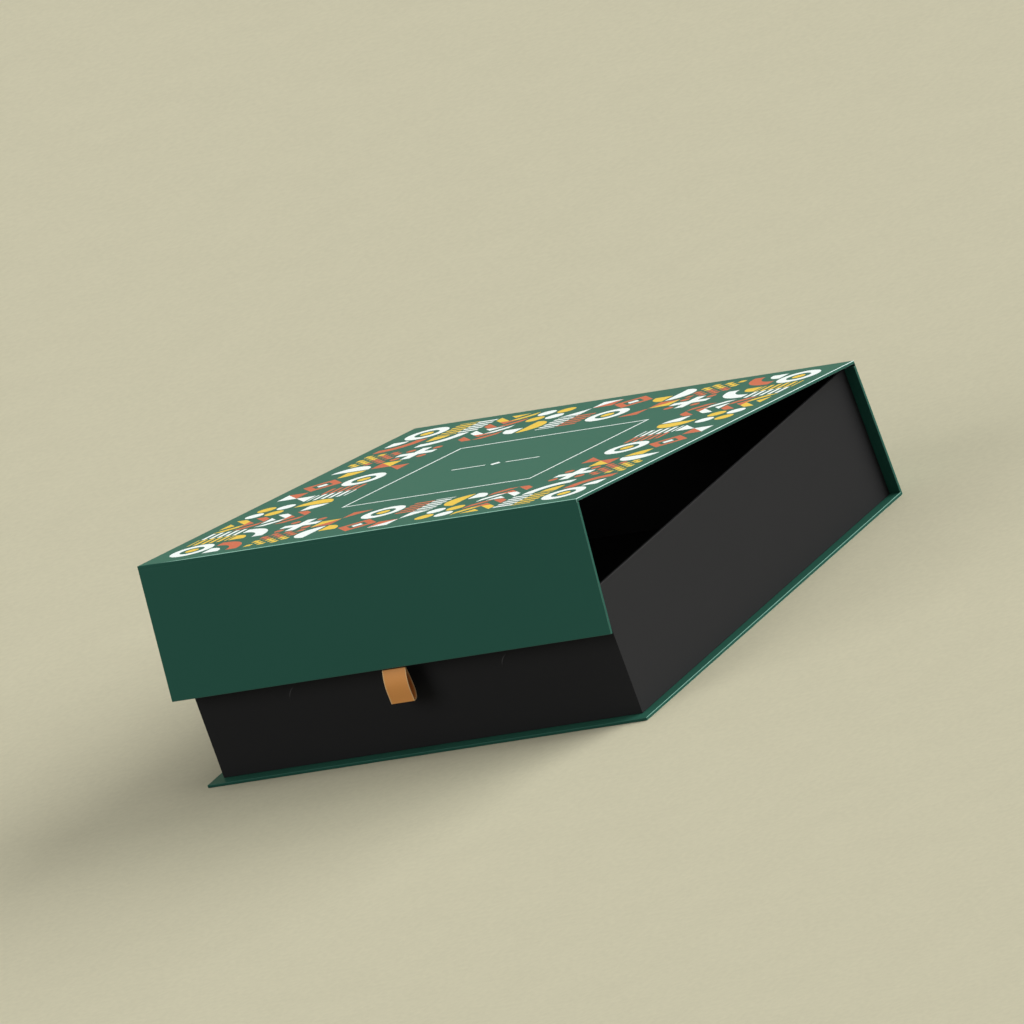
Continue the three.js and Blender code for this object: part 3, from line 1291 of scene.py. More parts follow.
@dataclass(frozen=True)
class Palette:
    """The finishes of the whole box."""

    # Its paler folds are partly worn paper and partly painted highlight along the flap's and spine's edges
    green: PaperFinish = PaperFinish(
        name="green paper", colour=(49, 103, 87), dark=(46, 98, 83), rubbed=(150, 196, 176), rub=0.3
    )
    # A darker copy of the green paper for the base: painted shade over its ledges beside the tray, and a
    # bright painted highlight along its edges
    green_ledge: PaperFinish = PaperFinish(
        name="green paper of the base",
        colour=(43, 93, 78),
        dark=(40, 88, 74),
        rubbed=(190, 246, 226),
        rub=0.55,
    )
    # A copy of the green paper with a near-white painted highlight along the lid's edges
    green_edge: PaperFinish = PaperFinish(
        name="green paper of the lid's edge",
        colour=(49, 103, 87),
        dark=(46, 98, 83),
        rubbed=(236, 255, 250),
        rub=1.0,
        rub_from=0.1,
    )
    # A copy of the green paper with a pale painted highlight along the creases
    green_bend: PaperFinish = PaperFinish(
        name="green paper of the creases",
        colour=(49, 103, 87),
        dark=(46, 98, 83),
        rubbed=(190, 246, 226),
        rub=1.0,
        rub_from=0.1,
    )
    # Its fold colour and share are the near-white painted highlight of the lid's edges
    printed: PrintFinish = PrintFinish(
        name="printed green paper",
        colour=(49, 104, 89),
        dark=(46, 99, 85),
        rubbed=(236, 255, 250),
        rub=1.0,
        rub_from=0.1,
    )
    # Its paler folds are partly worn paper and partly painted highlight on the tray's rim, corners and
    # magnet rims
    black: PaperFinish = PaperFinish(
        name="black paper", colour=(45, 45, 46), dark=(41, 41, 42), rubbed=(112, 112, 112), rub=1.0
    )
    lining: PaperFinish = PaperFinish(
        name="black lining paper",
        colour=(42, 42, 42),
        dark=(37, 37, 37),
        rubbed=(70, 70, 70),
        rub=0.4,
        roughness=0.7,
        specular=0.08,
    )
    board: BoardFinish = BoardFinish(name="grey board", colour=(150, 145, 136), fleck=(120, 114, 105))
    tape: BoardFinish = BoardFinish(
        name="brown tape", colour=(176, 148, 108), fleck=(150, 122, 84), roughness=0.8
    )
    steel: SteelFinish = SteelFinish(name="magnet steel", colour=(205, 206, 208), dull=(170, 172, 175))
    satin: SatinFinish = SatinFinish(
        name="satin ribbon", colour=(254, 176, 92), deep=(246, 164, 80), selvedge=(255, 214, 152)
    )


PALETTE = Palette()


# Sub-assemblies
@dataclass
class CasePaper:
    """The green wrap of the base and of the spine; the base's paper is a darker copy that paints shade on
    its ledges, with a painted highlight along its edges.
    """

    ledge: bpy.types.Material
    material: bpy.types.Material
    radius: float = SHEETS.edge_radius
    # Share of the base's painted edge highlight on its front edge, weaker than on its sides
    front_wear: float = 0.35

    def build(self) -> None:
        """Makes both sheets."""
        self.base()
        self.spine()

    def base(self) -> None:
        """Wraps the base board, turned in on top at the left, right and front edges."""
        low, high = node_corners("base_wrap")
        turn = SHEETS.turn_in
        window_x = np.array([low[0] + turn, high[0] - turn])
        skin = BoxSkin(
            low,
            high,
            (self.radius,) * 3,
            tuple(Side),
            (window_x, np.array([low[1] + turn, high[1] - self.radius]), np.array([self.radius])),
        )

        def ahead(centres: Points) -> np.ndarray:
            """Keeps faces as far back as the sheet's rear edge."""
            return centres[:, 1] < high[1] - self.radius

        def foot(centres: Points) -> np.ndarray:
            """Keeps faces on the turn of the lower edge."""
            return centres[:, 2] < self.radius

        def end(centres: Points) -> np.ndarray:
            """Keeps an end's faces."""
            return ahead(centres) | foot(centres)

        def turned_in(centres: Points) -> np.ndarray:
            """Keeps the top's faces that the turned-in edges cover."""
            covered = (np.abs(centres[:, 0]) > window_x[1]) | (centres[:, 1] < low[1] + turn)
            return covered & ahead(centres)

        surface = skin.surface({
            Side.LEFT: end,
            Side.RIGHT: end,
            Side.FRONT: everywhere,
            Side.BACK: foot,
            Side.BOTTOM: everywhere,
            Side.TOP: turned_in,
        })
        # Paints the front edge's highlight weaker than the sides'
        surface.fold *= np.where(surface.points[:, 1] < low[1] + self.radius, self.front_wear, 1)
        Piece("base_paper", Body.CASE, Slot.GREEN, ("base_wrap",)).make(surface, self.ledge)

    def spine(self) -> None:
        """Wraps the spine board, turned in at its ends, and runs up to the crease."""
        low, high = node_corners("spine_wrap")
        cap_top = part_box("spine_board")[1].z + SHEETS.ply
        cap = end_cap(low, np.array([high[0], high[1], cap_top]), self.radius, Side.BACK)
        cap_foot = cap_top - self.radius
        window_x = high[0] - SHEETS.turn_in
        tangent = high[2] - self.radius
        inner_start = low[2]
        low[2] = self.radius
        skin = BoxSkin(
            low,
            high,
            (self.radius,) * 3,
            (Side.LEFT, Side.RIGHT, Side.FRONT, Side.BACK),
            (np.array([-window_x, window_x]), NO_LINES, np.array([inner_start, cap_foot, tangent])),
        )

        def below(centres: Points) -> np.ndarray:
            """Keeps faces up to where the crease's edge starts."""
            return centres[:, 2] < tangent

        def along_board(centres: Points) -> np.ndarray:
            """Keeps faces beside the board, up to its cap."""
            return (centres[:, 2] > inner_start) & (centres[:, 2] < cap_foot)

        def end(centres: Points) -> np.ndarray:
            """Keeps an end's faces."""
            behind = centres[:, 1] > high[1] - self.radius
            return (along_board(centres) | behind) & below(centres)

        def turned_in(centres: Points) -> np.ndarray:
            """Keeps the inner side's faces that the turned-in ends cover."""
            return along_board(centres) & (np.abs(centres[:, 0]) > window_x)

        surface = skin.surface({Side.LEFT: end, Side.RIGHT: end, Side.FRONT: turned_in, Side.BACK: below})
        piece = Piece("spine_paper", Body.CASE, Slot.GREEN, ("spine_wrap",))
        piece.make(joined([surface, cap]), self.material)


# The motif mark of a face without a tile
NO_MOTIF = -1.0


@dataclass(frozen=True)
class TileRing:
    """A square ring of tiles in the lid's flat sheet, from its middle."""

    half: float
    count: int
    size: float
    motifs: tuple[Motif, ...]
    inks: tuple[tuple[Ink, Ink], ...]

    def centres(self) -> tuple[np.ndarray, np.ndarray]:
        """Places the tiles counter-clockwise from the lower left.

        Returns:
            Each tile's middle as x and y, and its number of quarter turns.
        """
        step = 2 * self.half / self.count
        along = -self.half + step * np.arange(self.count)
        edge = np.full(self.count, self.half)
        sides = [
            np.stack([along, -edge], axis=-1),
            np.stack([edge, along], axis=-1),
            np.stack([-along, edge], axis=-1),
            np.stack([-edge, -along], axis=-1),
        ]
        return np.concatenate(sides), np.repeat(np.arange(4), self.count)

    def lines(self) -> np.ndarray:
        """Grid lines at the tiles' borders, the same along both ways of the sheet."""
        middles = np.unique(np.round(self.centres()[0][:, 0], LINE_DECIMALS))
        return np.concatenate([middles - self.size / 2, middles + self.size / 2])


@dataclass
class LidPaper:
    """The lid's green wrap with the print on its top, and the creases at its front and back."""

    plain: bpy.types.Material
    printed: bpy.types.Material
    bend: bpy.types.Material
    radius: float = SHEETS.edge_radius
    # Share of the painted edge highlight on the lid's lower edges, weaker than on its upper edges
    lower_wear: float = 0.25
    under_crease: float = 0.00014
    # Width at the crease's left end over which the front crease's painted highlight fades in, and the grid
    # lines across it
    fresh_end: float = 0.055
    fresh_lines: int = 7
    outer: TileRing = TileRing(
        half=0.1269,
        count=9,
        size=0.0266,
        motifs=(
            Motif.TARGET, Motif.ARCS, Motif.CHECKS, Motif.MOONS, Motif.DIAMOND,
            Motif.PINWHEEL, Motif.DISCS, Motif.CHEVRONS, Motif.STRIPES,
        ),
        inks=(
            (Ink.WHITE, Ink.YELLOW), (Ink.WHITE, Ink.ORANGE), (Ink.YELLOW, Ink.ORANGE),
            (Ink.WHITE, Ink.YELLOW), (Ink.ORANGE, Ink.WHITE), (Ink.WHITE, Ink.ORANGE),
            (Ink.YELLOW, Ink.WHITE), (Ink.ORANGE, Ink.YELLOW), (Ink.WHITE, Ink.YELLOW),
        ),
    )
    inner: TileRing = TileRing(
        half=0.0987,
        count=7,
        size=0.0266,
        motifs=(
            Motif.ARCS, Motif.CROSS, Motif.PINWHEEL, Motif.TARGET,
            Motif.STRIPES, Motif.MOONS, Motif.CHEVRONS,
        ),
        inks=(
            (Ink.YELLOW, Ink.WHITE), (Ink.WHITE, Ink.ORANGE), (Ink.ORANGE, Ink.YELLOW),
            (Ink.WHITE, Ink.YELLOW), (Ink.ORANGE, Ink.WHITE), (Ink.YELLOW, Ink.WHITE),
            (Ink.ORANGE, Ink.WHITE),
        ),
    )

    def box(self) -> tuple[Points, Points]:
        """The lid with its wrap, shut, out to the creases' outer faces.

        Returns:
            Its lowest and highest corners.
        """
        low, high = CREASE.shut_box("lid_wrap")
        low[1] = CREASE.shut_box("flap_wrap")[0][1]
        high[1:] = CREASE.y, CREASE.z
        return low, high

    def build(self) -> None:
        """Makes the lid's sheet and both creases."""
        self.sheet()
        self.front_crease()
        self.back_crease()

    def sheet(self) -> None:
        """Wraps the lid board, closed at its creases and turned in underneath at its ends."""
        low, high = self.box()
        middle = (low[:2] + high[:2]) / 2
        window = high[0] - SHEETS.turn_in
        low[1] += self.under_crease
        high[1] -= self.under_crease
        lines = in_order(self.outer.lines(), self.inner.lines())
        skin = BoxSkin(
            low,
            high,
            (self.radius, self.radius - self.under_crease, self.radius),
            tuple(Side),
            (in_order(lines, np.array([-window, window])), lines + middle[1], NO_LINES),
        )

        def turned_in(centres: Points) -> np.ndarray:
            """Keeps the underside's faces that the turned-in ends cover."""
            return np.abs(centres[:, 0]) > window

        surface = skin.surface({side: turned_in if side is Side.BOTTOM else everywhere for side in Side})
        # The lower edges get less of the painted highlight than the upper ones
        upper = surface.points[:, 2] > (low[2] + high[2]) / 2
        surface.fold *= np.where(upper, 1, self.lower_wear)
        surface = self.print_on(surface, middle, high[2]).moved(CREASE.opened)
        piece = Piece("lid_paper", Body.LID, Slot.GREEN, ("lid_wrap",))
        piece.make(surface, self.plain, self.printed)

    def print_on(self, surface: Surface, middle: np.ndarray, top: float) -> Surface:
        """Marks the top's faces with their tiles.

        A corner's place in its tile is its distance from the tile's middle over the tile's size,
        turned by the tile's quarter turns, plus a half.

        Args:
            surface: The lid's sheet, shut.
            middle: The print's middle as x and y.
            top: The height of the sheet's top.

        Returns:
            The sheet with its maps and marks.
        """
        corners = surface.points[surface.faces]
        centres = corners.mean(axis=1)
        flat = corners[..., :2] - middle
        at = centres[:, :2] - middle
        is_top = (corners[..., 2] > top - ON_FACE).all(axis=1)
        tile_uv = np.zeros(flat.shape)
        motif = np.full(len(at), NO_MOTIF)
        first = np.zeros(len(at))
        second = np.zeros(len(at))
        for ring in (self.outer, self.inner):
            middles, turns = ring.centres()
            distance = np.abs(at[:, None, :] - middles[None]).max(axis=2)
            nearest = distance.argmin(axis=1)
            inside = is_top & (distance.min(axis=1) < ring.size / 2)
            place = (flat - middles[nearest][:, None, :]) / ring.size
            angle = -turns[nearest][:, None] * math.pi / 2
            cos, sin = np.cos(angle), np.sin(angle)
            x, y = place[..., 0], place[..., 1]
            turned = np.stack([x * cos - y * sin, x * sin + y * cos], axis=-1) + 0.5
            order = np.arange(len(middles)) % ring.count
            kinds = np.array([one.value for one in ring.motifs])[order]
            inks = np.array([(one.value, two.value) for one, two in ring.inks])[order]
            tile_uv[inside] = turned[inside]
            motif[inside] = kinds[nearest][inside]
            first[inside] = inks[nearest, 0][inside]
            second[inside] = inks[nearest, 1][inside]
        surface.uv = {"tile": tile_uv, "sheet": flat}
        surface.marks = {
            "material": is_top.astype(int),
            "motif": motif,
            "first_ink": first,
            "second_ink": second,
        }
        return surface

    def crease_strip(self, low: Points, high: Points, side: Side) -> Surface:
        """The sheet round one crease: down the outer face and round its upper edge.

        Args:
            low: The lowest corner of a box under the crease.
            high: Its highest corner.
            side: The side with the crease.

        Returns:
            The strip, shut.
        """
        along = low[0] + self.fresh_end * np.linspace(0, 1, self.fresh_lines)
        rounded = (Side.LEFT, Side.RIGHT, side, Side.TOP)
        skin = BoxSkin(low, high, (self.radius,) * 3, rounded, (along, NO_LINES, NO_LINES))
        edge = low[1] if side is Side.FRONT else high[1]

        def near(centres: Points) -> np.ndarray:
            """Keeps faces within the turn of the crease's edge."""
            return np.abs(centres[:, 1] - edge) < self.radius

        return skin.surface({side: everywhere, Side.TOP: near, Side.LEFT: near, Side.RIGHT: near})

    def front_crease(self) -> None:
        """Joins the lid's sheet to the flap's with a strip turned round the edge between them."""
        low, high = self.box()
        high[1] = low[1] + SHEETS.turn_in
        low[2] = CREASE.shut_box("flap_lining")[1][2]
        surface = self.crease_strip(low, high, Side.FRONT)
        # Fades the crease's painted highlight in from its left end
        surface.fold *= smooth((surface.points[:, 0] - low[0]) / self.fresh_end)
        piece = Piece("front_crease", None, Slot.GREEN).make(surface.moved(CREASE.opened), self.bend)
        tangents = np.array([[0, low[1] + self.radius, high[2]], [0, low[1], high[2] - self.radius]])
        start, end = CREASE.opened(tangents)
        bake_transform(piece)

    def back_crease(self) -> None:
        """Joins the spine's sheet to the lid's, and bends between them."""
        low, high = self.box()
        low[1] = high[1] - SHEETS.turn_in
        low[2] = high[2] - self.radius
        surface = self.crease_strip(low, high, Side.BACK)
        start = np.array([0, high[1], high[2] - self.radius])
        end = np.array([0, high[1] - self.radius, high[2]])

        def bent(points: Points) -> Points:
            """Turns each point by the share of the lid's angle that its place on the bend gives.

            Args:
                points: Points of the shut strip.

            Returns:
                The bent points.
            """
            way = end - start
            share = smooth((points - start) @ way / (way @ way))
            return CREASE.turned(points, SHEETS.ajar * share)

        piece = Piece("back_crease", None, Slot.GREEN).make(surface.moved(bent), self.bend)
        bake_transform(piece)


@dataclass
class FlapPaper:
    """The flap's green wrap and its lining over the ribbon's ends and the magnets."""

    plain: bpy.types.Material
    lining: bpy.types.Material
    radius: float = SHEETS.edge_radius
    ring_height: float = 0.00004
    ring_width: float = 0.0005
    ring_wear: float = 0.4
    hump_blend: float = 0.002
    hump_lines: int = 9

    def build(self) -> None:
        """Makes the flap's sheet and lining."""
        self.sheet()
        self.inside()

    def sheet(self) -> None:
        """Wraps the flap board, turned in behind at its ends and its lower edge."""
        low, high = CREASE.shut_box("flap_wrap")
        board_top = CREASE.shut_box("flap_lining")[1][2]
        high[1] = low[1] + SHEETS.board + 2 * SHEETS.ply
        high[2] = board_top + SHEETS.ply
        cap = end_cap(low, high, self.radius, Side.FRONT)
        cap_foot = high[2] - self.radius
        high[2] = board_top
        turn = SHEETS.turn_in
        window = high[0] - turn
        skin = BoxSkin(
            low,
            high,
            (self.radius,) * 3,
            (Side.LEFT, Side.RIGHT, Side.FRONT, Side.BACK, Side.BOTTOM),
            (np.array([-window, window]), NO_LINES, np.array([low[2] + turn, cap_foot])),
        )

        def below(centres: Points) -> np.ndarray:
            """Keeps faces up to the cap."""
            return centres[:, 2] < cap_foot

        def end(centres: Points) -> np.ndarray:
            """Keeps an end's faces."""
            return below(centres) | (centres[:, 1] < low[1] + self.radius)

        def turned_in(centres: Points) -> np.ndarray:
            """Keeps the inner side's faces that the turned-in edges cover."""
            covered = (np.abs(centres[:, 0]) > window) | (centres[:, 2] < low[2] + turn)
            return covered & below(centres)

        surface = skin.surface({
            Side.LEFT: end,
            Side.RIGHT: end,
            Side.FRONT: everywhere,
            Side.BOTTOM: everywhere,
            Side.BACK: turned_in,
        })
        piece = Piece("flap_paper", Body.FLAP, Slot.GREEN, ("flap_wrap",))
        piece.make(joined([surface, cap]).moved(CREASE.opened), self.plain)

    def inside(self) -> None:
        """Lines the flap's inner face.

        The sheet stands out by a smooth step over the ribbon's ends, and by the rims of the magnets.
        """
        low, high = CREASE.shut_box("flap_lining")
        tails = CREASE.shut_box("ribbon_tails")
        disc = CREASE.shut_box("flap_magnet_right")
        flat = CREASE.shut_box("flap_wrap")[0][1] + SHEETS.board + 2 * SHEETS.ply + SHEETS.ply
        rise = high[1] - flat
        radius = (disc[1][0] - disc[0][0]) / 2
        middle = (disc[0] + disc[1]) / 2
        reach = radius + BELL_REACH * self.ring_width
        fine = int(reach / self.ring_width) * 2
        edge, top = tails[1][0], tails[1][2]
        x = in_order(
            np.array([low[0], high[0], 0.0]),
            rim_lines(-middle[0], reach, fine),
            rim_lines(middle[0], reach, fine),
            np.linspace(-edge - self.hump_blend, -edge, self.hump_lines),
            np.linspace(edge, edge + self.hump_blend, self.hump_lines),
        )
        z = in_order(
            np.array([low[2], high[2]]),
            rim_lines(middle[2], reach, fine),
            np.linspace(top, top + self.hump_blend, self.hump_lines),
        )
        across, up = np.meshgrid(x, z, indexing="ij")
        over = smooth((edge + self.hump_blend - np.abs(across)) / self.hump_blend)
        over = over * smooth((top + self.hump_blend - up) / self.hump_blend)
        sideways = np.abs(across) - middle[0]
        rim = raised_ring(sideways, up - middle[2], radius, self.ring_width, self.ring_height)
        points = np.stack([across, flat + rise * over + rim, up], axis=-1)
        surface = grid(points, np.clip(rim / self.ring_height, 0, 1) * self.ring_wear, flip=True)
        piece = Piece("flap_lining_sheet", Body.FLAP, Slot.LINING, ("flap_lining",))
        piece.make(surface.moved(CREASE.opened), self.lining)


@dataclass
class TrayPaper:
    """The tray's black wrap and its liner."""

    wrap: bpy.types.Material
    liner: bpy.types.Material
    corner_radius: float = 0.00028
    tight_radius: float = 0.0002
    corner_share: float = 1.6
    rim_radius: float = 0.00045
    # Where on the rim's outer turn the worn paleness and painted highlight line are brightest, as a share
    # of its radius
    rim_rub: float = 0.3
    inner_leg: float = 0.045
    foot_radius: float = 0.0003
    foot_turn: float = 0.012
    foot_steps: int = 3
    liner_radius: float = 0.0009
    ring_height: float = 0.00008
    ring_width: float = 0.0005
    # Share of the fold colour on the tray's rim and corners: partly worn paper, partly painted highlight
    edge_wear: float = 0.28
    # The magnets' rims are paler on an arc towards the upper left: painted highlight
    ring_wear: float = 0.45
    ring_lean: float = math.radians(143)
    ring_arc: float = 7.0

    def build(self) -> None:
        """Makes both sheets."""
        self.outside()
        self.inside()

    def profile(self, low: float, high: float, thick: float, leg: float) -> np.ndarray:
        """The wrap's section as distance inwards and height.

        It runs out under the foot, up the outside, over the rim and down the inside.

        Args:
            low: The foot's height.
            high: The rim's height.
            thick: From the outer face to the inner one.
            leg: The height where the inner leg ends.

        Returns:
            Rows of distance inwards and height.
        """
        foot, rim = self.foot_radius, self.rim_radius
        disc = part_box("tray_magnet_right")
        reach = (disc[1].z - disc[0].z) / 2 + BELL_REACH * self.ring_width
        middle = (disc[1].z + disc[0].z) / 2
        fine = rim_lines(middle, reach, int(2 * reach / self.ring_width))
        up = np.stack([np.zeros(len(fine)), fine], axis=-1)
        return np.concatenate([
            [(self.foot_turn, low)],
            arc((foot, low + foot), foot, 270, 180, self.foot_steps),
            up,
            arc((rim, high - rim), rim, 180, 90),
            arc((thick - rim, high - rim), rim, 90, 0),
            [(thick, leg)],
        ])

    def outside(self) -> None:
        """Carries the section round the tray, with the magnets' rims pressed out of its front."""
        low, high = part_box("tray_wrap")
        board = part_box("tray_front_board")
        thick = board[1].y - low.y + SHEETS.ply
        section = self.profile(low.z, high.z, thick, high.z - self.inner_leg)
        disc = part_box("tray_magnet_right")
        middle = ((disc[0].x + disc[1].x) / 2, (disc[0].z + disc[1].z) / 2)
        radius = (disc[1].x - disc[0].x) / 2
        reach = radius + BELL_REACH * self.ring_width
        fine = int(2 * reach / self.ring_width)
        lines = np.concatenate([rim_lines(-middle[0], reach, fine), rim_lines(middle[0], reach, fine)])
        loop = Loop((low.x, low.y), (high.x, high.y), self.corner_radius, self.tight_radius)
        points = loop.points(section[:, 0], section[:, 1], lines)
        on_front = (points[..., 1] < low.y + ON_FACE) & (section[:, :1] < ON_FACE)
        across = points[..., 0] - np.sign(points[..., 0]) * middle[0]
        up = points[..., 2] - middle[1]
        rim = raised_ring(across, up, radius, self.ring_width, self.ring_height)
        rim = np.where(on_front, rim * leaning(across, up, self.ring_lean, self.ring_arc), 0)
        points[..., 1] -= rim
        corner_x = (high.x - np.abs(points[..., 0])) / self.corner_radius
        corner_y = np.minimum(high.y - points[..., 1], points[..., 1] - low.y) / self.corner_radius
        corner = np.clip(1 - np.maximum(corner_x, corner_y), 0, 1) * self.corner_share
        # The rim and corners get worn paleness and a painted highlight
        edge = np.maximum(np.minimum(corner, 1), self.rim_fold(section, high.z)[:, None]) * self.edge_wear
        # The rim's fold value paints a highlight on its upper left arc
        pressed = rim / self.ring_height * self.ring_wear
        surface = grid(points, np.maximum(edge, pressed), flip=True)
        piece = Piece("tray_paper", Body.CASE, Slot.BLACK, ("tray_wrap",))
        piece.make(surface, self.wrap)

    def rim_fold(self, section: np.ndarray, high: float) -> np.ndarray:
        """The fold value along the section, which is highest on the outer turn of the rim, where it paints
        worn paleness and a highlight line.

        There it is 1, less the distance from the palest place over the rim's radius.

        Args:
            section: Rows of distance inwards and height.
            high: The rim's height.

        Returns:
            The value at each row.
        """
        distance = np.hypot(section[:, 0] - self.rim_radius, section[:, 1] - (high - self.rim_radius))
        outer = (section[:, 0] < self.rim_radius) & (section[:, 1] > high - self.rim_radius)
        near_edge = 1 - np.abs(section[:, 0] - self.rim_rub * self.rim_radius) / self.rim_radius
        return np.where(outer & (distance < self.rim_radius + ON_FACE), near_edge, 0)

    def inside(self) -> None:
        """Lines the tray's floor and lower walls with one sheet."""
        low, high = node_corners("tray_liner")
        sides = (Side.LEFT, Side.RIGHT, Side.FRONT, Side.BACK, Side.BOTTOM)
        skin = BoxSkin(low, high, (self.liner_radius,) * 3, sides)
        surface = skin.surface({side: everywhere for side in sides})
        piece = Piece("tray_liner_sheet", Body.CASE, Slot.LINING, ("tray_liner",))
        piece.make(surface, self.liner)


@dataclass
class Ribbon:
    """The pull ribbon: its loop below the flap, and its doubled ends behind the flap's lining."""

    satin: bpy.types.Material
    thickness: float = 0.0003
    solid_share: float = 0.95
    drop: float = 0.0196
    bulge: float = 0.0033
    growth: float = 1.15
    closing: float = 0.42
    front_bow: float = 0.0016
    bow_closing: float = 0.3
    tuck: float = 0.0008
    bead_width: float = 0.0006
    bead_height: float = 0.00006
    pressed: float = 0.12
    press_plane: float = 0.0008
    width_lines: int = 9
    edge_lines: int = 7
    ply_lines: int = 33
    fold_steps: int = 8
    end_lines: int = 20

    def build(self) -> None:
        """Makes the loop and the ends."""
        self.loop()
        self.ends()

    def across(self) -> np.ndarray:
        """Places grid lines over the ribbon's width, closer at the selvedges.

        Returns:
            Their distances from the ribbon's middle.
        """
        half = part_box("ribbon_loop")[1].x
        edge = np.linspace(half - 2 * self.bead_width, half, self.edge_lines)
        return in_order(-edge, edge, np.linspace(-half, half, self.width_lines))

    def bead(self, x: np.ndarray) -> np.ndarray:
        """How far the selvedge stands out: a half wave over its width.

        Args:
            x: Distances from the ribbon's middle.

        Returns:
            The height at each.
        """
        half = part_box("ribbon_loop")[1].x
        share = np.clip((np.abs(x) - half + self.bead_width) / self.bead_width, 0, 1)
        return self.bead_height * np.sin(share * math.pi)

    def swept(self, path: np.ndarray) -> Surface:
        """Carries the ribbon's width along a path in the y-z plane.

        Each point moves out along the path's left-hand normal by the selvedge's bead.

        Args:
            path: Rows of y and z.

        Returns:
            The surface, with its map "weave" in metres across and along.
        """
        x = self.across()
        step = np.gradient(path, axis=0)
        normal = np.stack([step[:, 1], -step[:, 0]], axis=-1)
        normal /= np.linalg.norm(normal, axis=1, keepdims=True)
        length = np.concatenate([[0], np.cumsum(np.linalg.norm(np.diff(path, axis=0), axis=1))])
        shift = self.bead(x)[None, :, None] * normal[:, None, :]
        yz = path[:, None, :] + shift
        points = np.concatenate([np.broadcast_to(x[None, :, None], yz.shape[:2] + (1,)), yz], axis=-1)
        surface = grid(points, np.zeros(points.shape[:2]))
        weave = np.stack(np.broadcast_arrays(x[None, :], length[:, None]), axis=-1).reshape(-1, 2)
        surface.uv = {"weave": weave[surface.faces]}
        return surface

    def outline(self) -> np.ndarray:
        """The loop's outer face, from the front ply's top round the bottom to the back ply's top.

        With s from 0 at the top to 1 at the bottom, both plies lean in by tuck times s squared.
        The front ply bows out by front bow times sin(pi s) times (1 - s) to its closing. The back
        ply stands in by bulge times s to the growth times (1 - s) to the closing, over the
        greatest value of that.

        Returns:
            Rows of y and z from the pivot.
        """
        peak = self.growth / (self.growth + self.closing)
        top = peak ** self.growth * (1 - peak) ** self.closing
        t = self.thickness
        s = np.sin(np.linspace(0, math.pi / 2, self.ply_lines))
        bow = self.front_bow * np.sin(math.pi * s) * (1 - s) ** self.bow_closing
        front = np.stack([self.tuck * s ** 2 - bow - t, -self.drop * s], axis=-1)
        fold = arc((self.tuck, -self.drop), t, 180, 360, self.fold_steps)[1:-1]
        s = s[::-1]
        off = self.bulge * s ** self.growth * (1 - s) ** self.closing / top
        back = np.stack([self.tuck * s ** 2 + off + t, -self.drop * s], axis=-1)
        return np.concatenate([front, fold, back])

    def pivot(self) -> np.ndarray:
        """Where the loop leaves the flap, shut: between the plies, at the loop's top."""
        tails = CREASE.shut_box("ribbon_tails")
        return np.array([(tails[0][1] + tails[1][1]) / 2, tails[0][2] - 2 * self.thickness])

    def loop(self) -> None:
        """Makes the loop."""
        path = self.outline()
        surface = self.swept(path + self.pivot()).moved(CREASE.opened)
        thick = self.thickness * self.solid_share
        piece = Piece("ribbon_loop_band", Body.RIBBON, Slot.SATIN, ("ribbon_loop",), thick)
        band = piece.make(surface, self.satin)
        plane = np.array([0, self.pivot()[0] - self.press_plane, self.pivot()[1]])
        start, end = CREASE.opened(np.array([plane, plane + [0, 1, 0]]))
        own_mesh(band)

    def ends(self) -> None:
        """Makes both ends, one on the other."""
        low, high = CREASE.shut_box("ribbon_tails")
        z = np.linspace(low[2], high[2], self.end_lines)
        outer = self.swept(np.stack([np.full(self.end_lines, low[1]), z[::-1]], axis=-1))
        inner = self.swept(np.stack([np.full(self.end_lines, high[1]), z], axis=-1))
        thick = self.thickness * self.solid_share
        piece = Piece("ribbon_ends", Body.FLAP, Slot.SATIN, ("ribbon_tails",), thick)
        ends = piece.make(joined([outer, inner]).moved(CREASE.opened), self.satin)
        length = 2 * (high[2] - low[2])


@dataclass(frozen=True)
class Hidden:
    """The frame's own nodes that stay: boards, tape, magnets and flat linings."""

    finishes: dict[str, bpy.types.Material]

    def dress(self) -> None:
        """Gives each node the finish whose word is in its name."""
        for name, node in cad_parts.items():
            for word, material in self.finishes.items():
                if word in name:
                    node.data.materials.clear()
                    node.data.materials.append(material)
                    LOG.info("%s: dressed in %s", name, material.name)


# Studio
@dataclass(frozen=True)
class Lamp:
    """A broad, soft, distant lamp: where it stands as seen from the box, and how it lights."""

    name: str
    towards: Direction
    spread: float
    strength: float

    def build(self) -> None:
        """Makes the lamp."""
        light = bpy.data.lights.new(self.name, "SUN")
        light.energy = self.strength
        light.angle = self.spread
        lamp = bpy.data.objects.new(self.name, light)
        lamp.rotation_euler = Vector(self.towards).to_track_quat("Z", "Y").to_euler()
        bpy.context.scene.collection.objects.link(lamp)


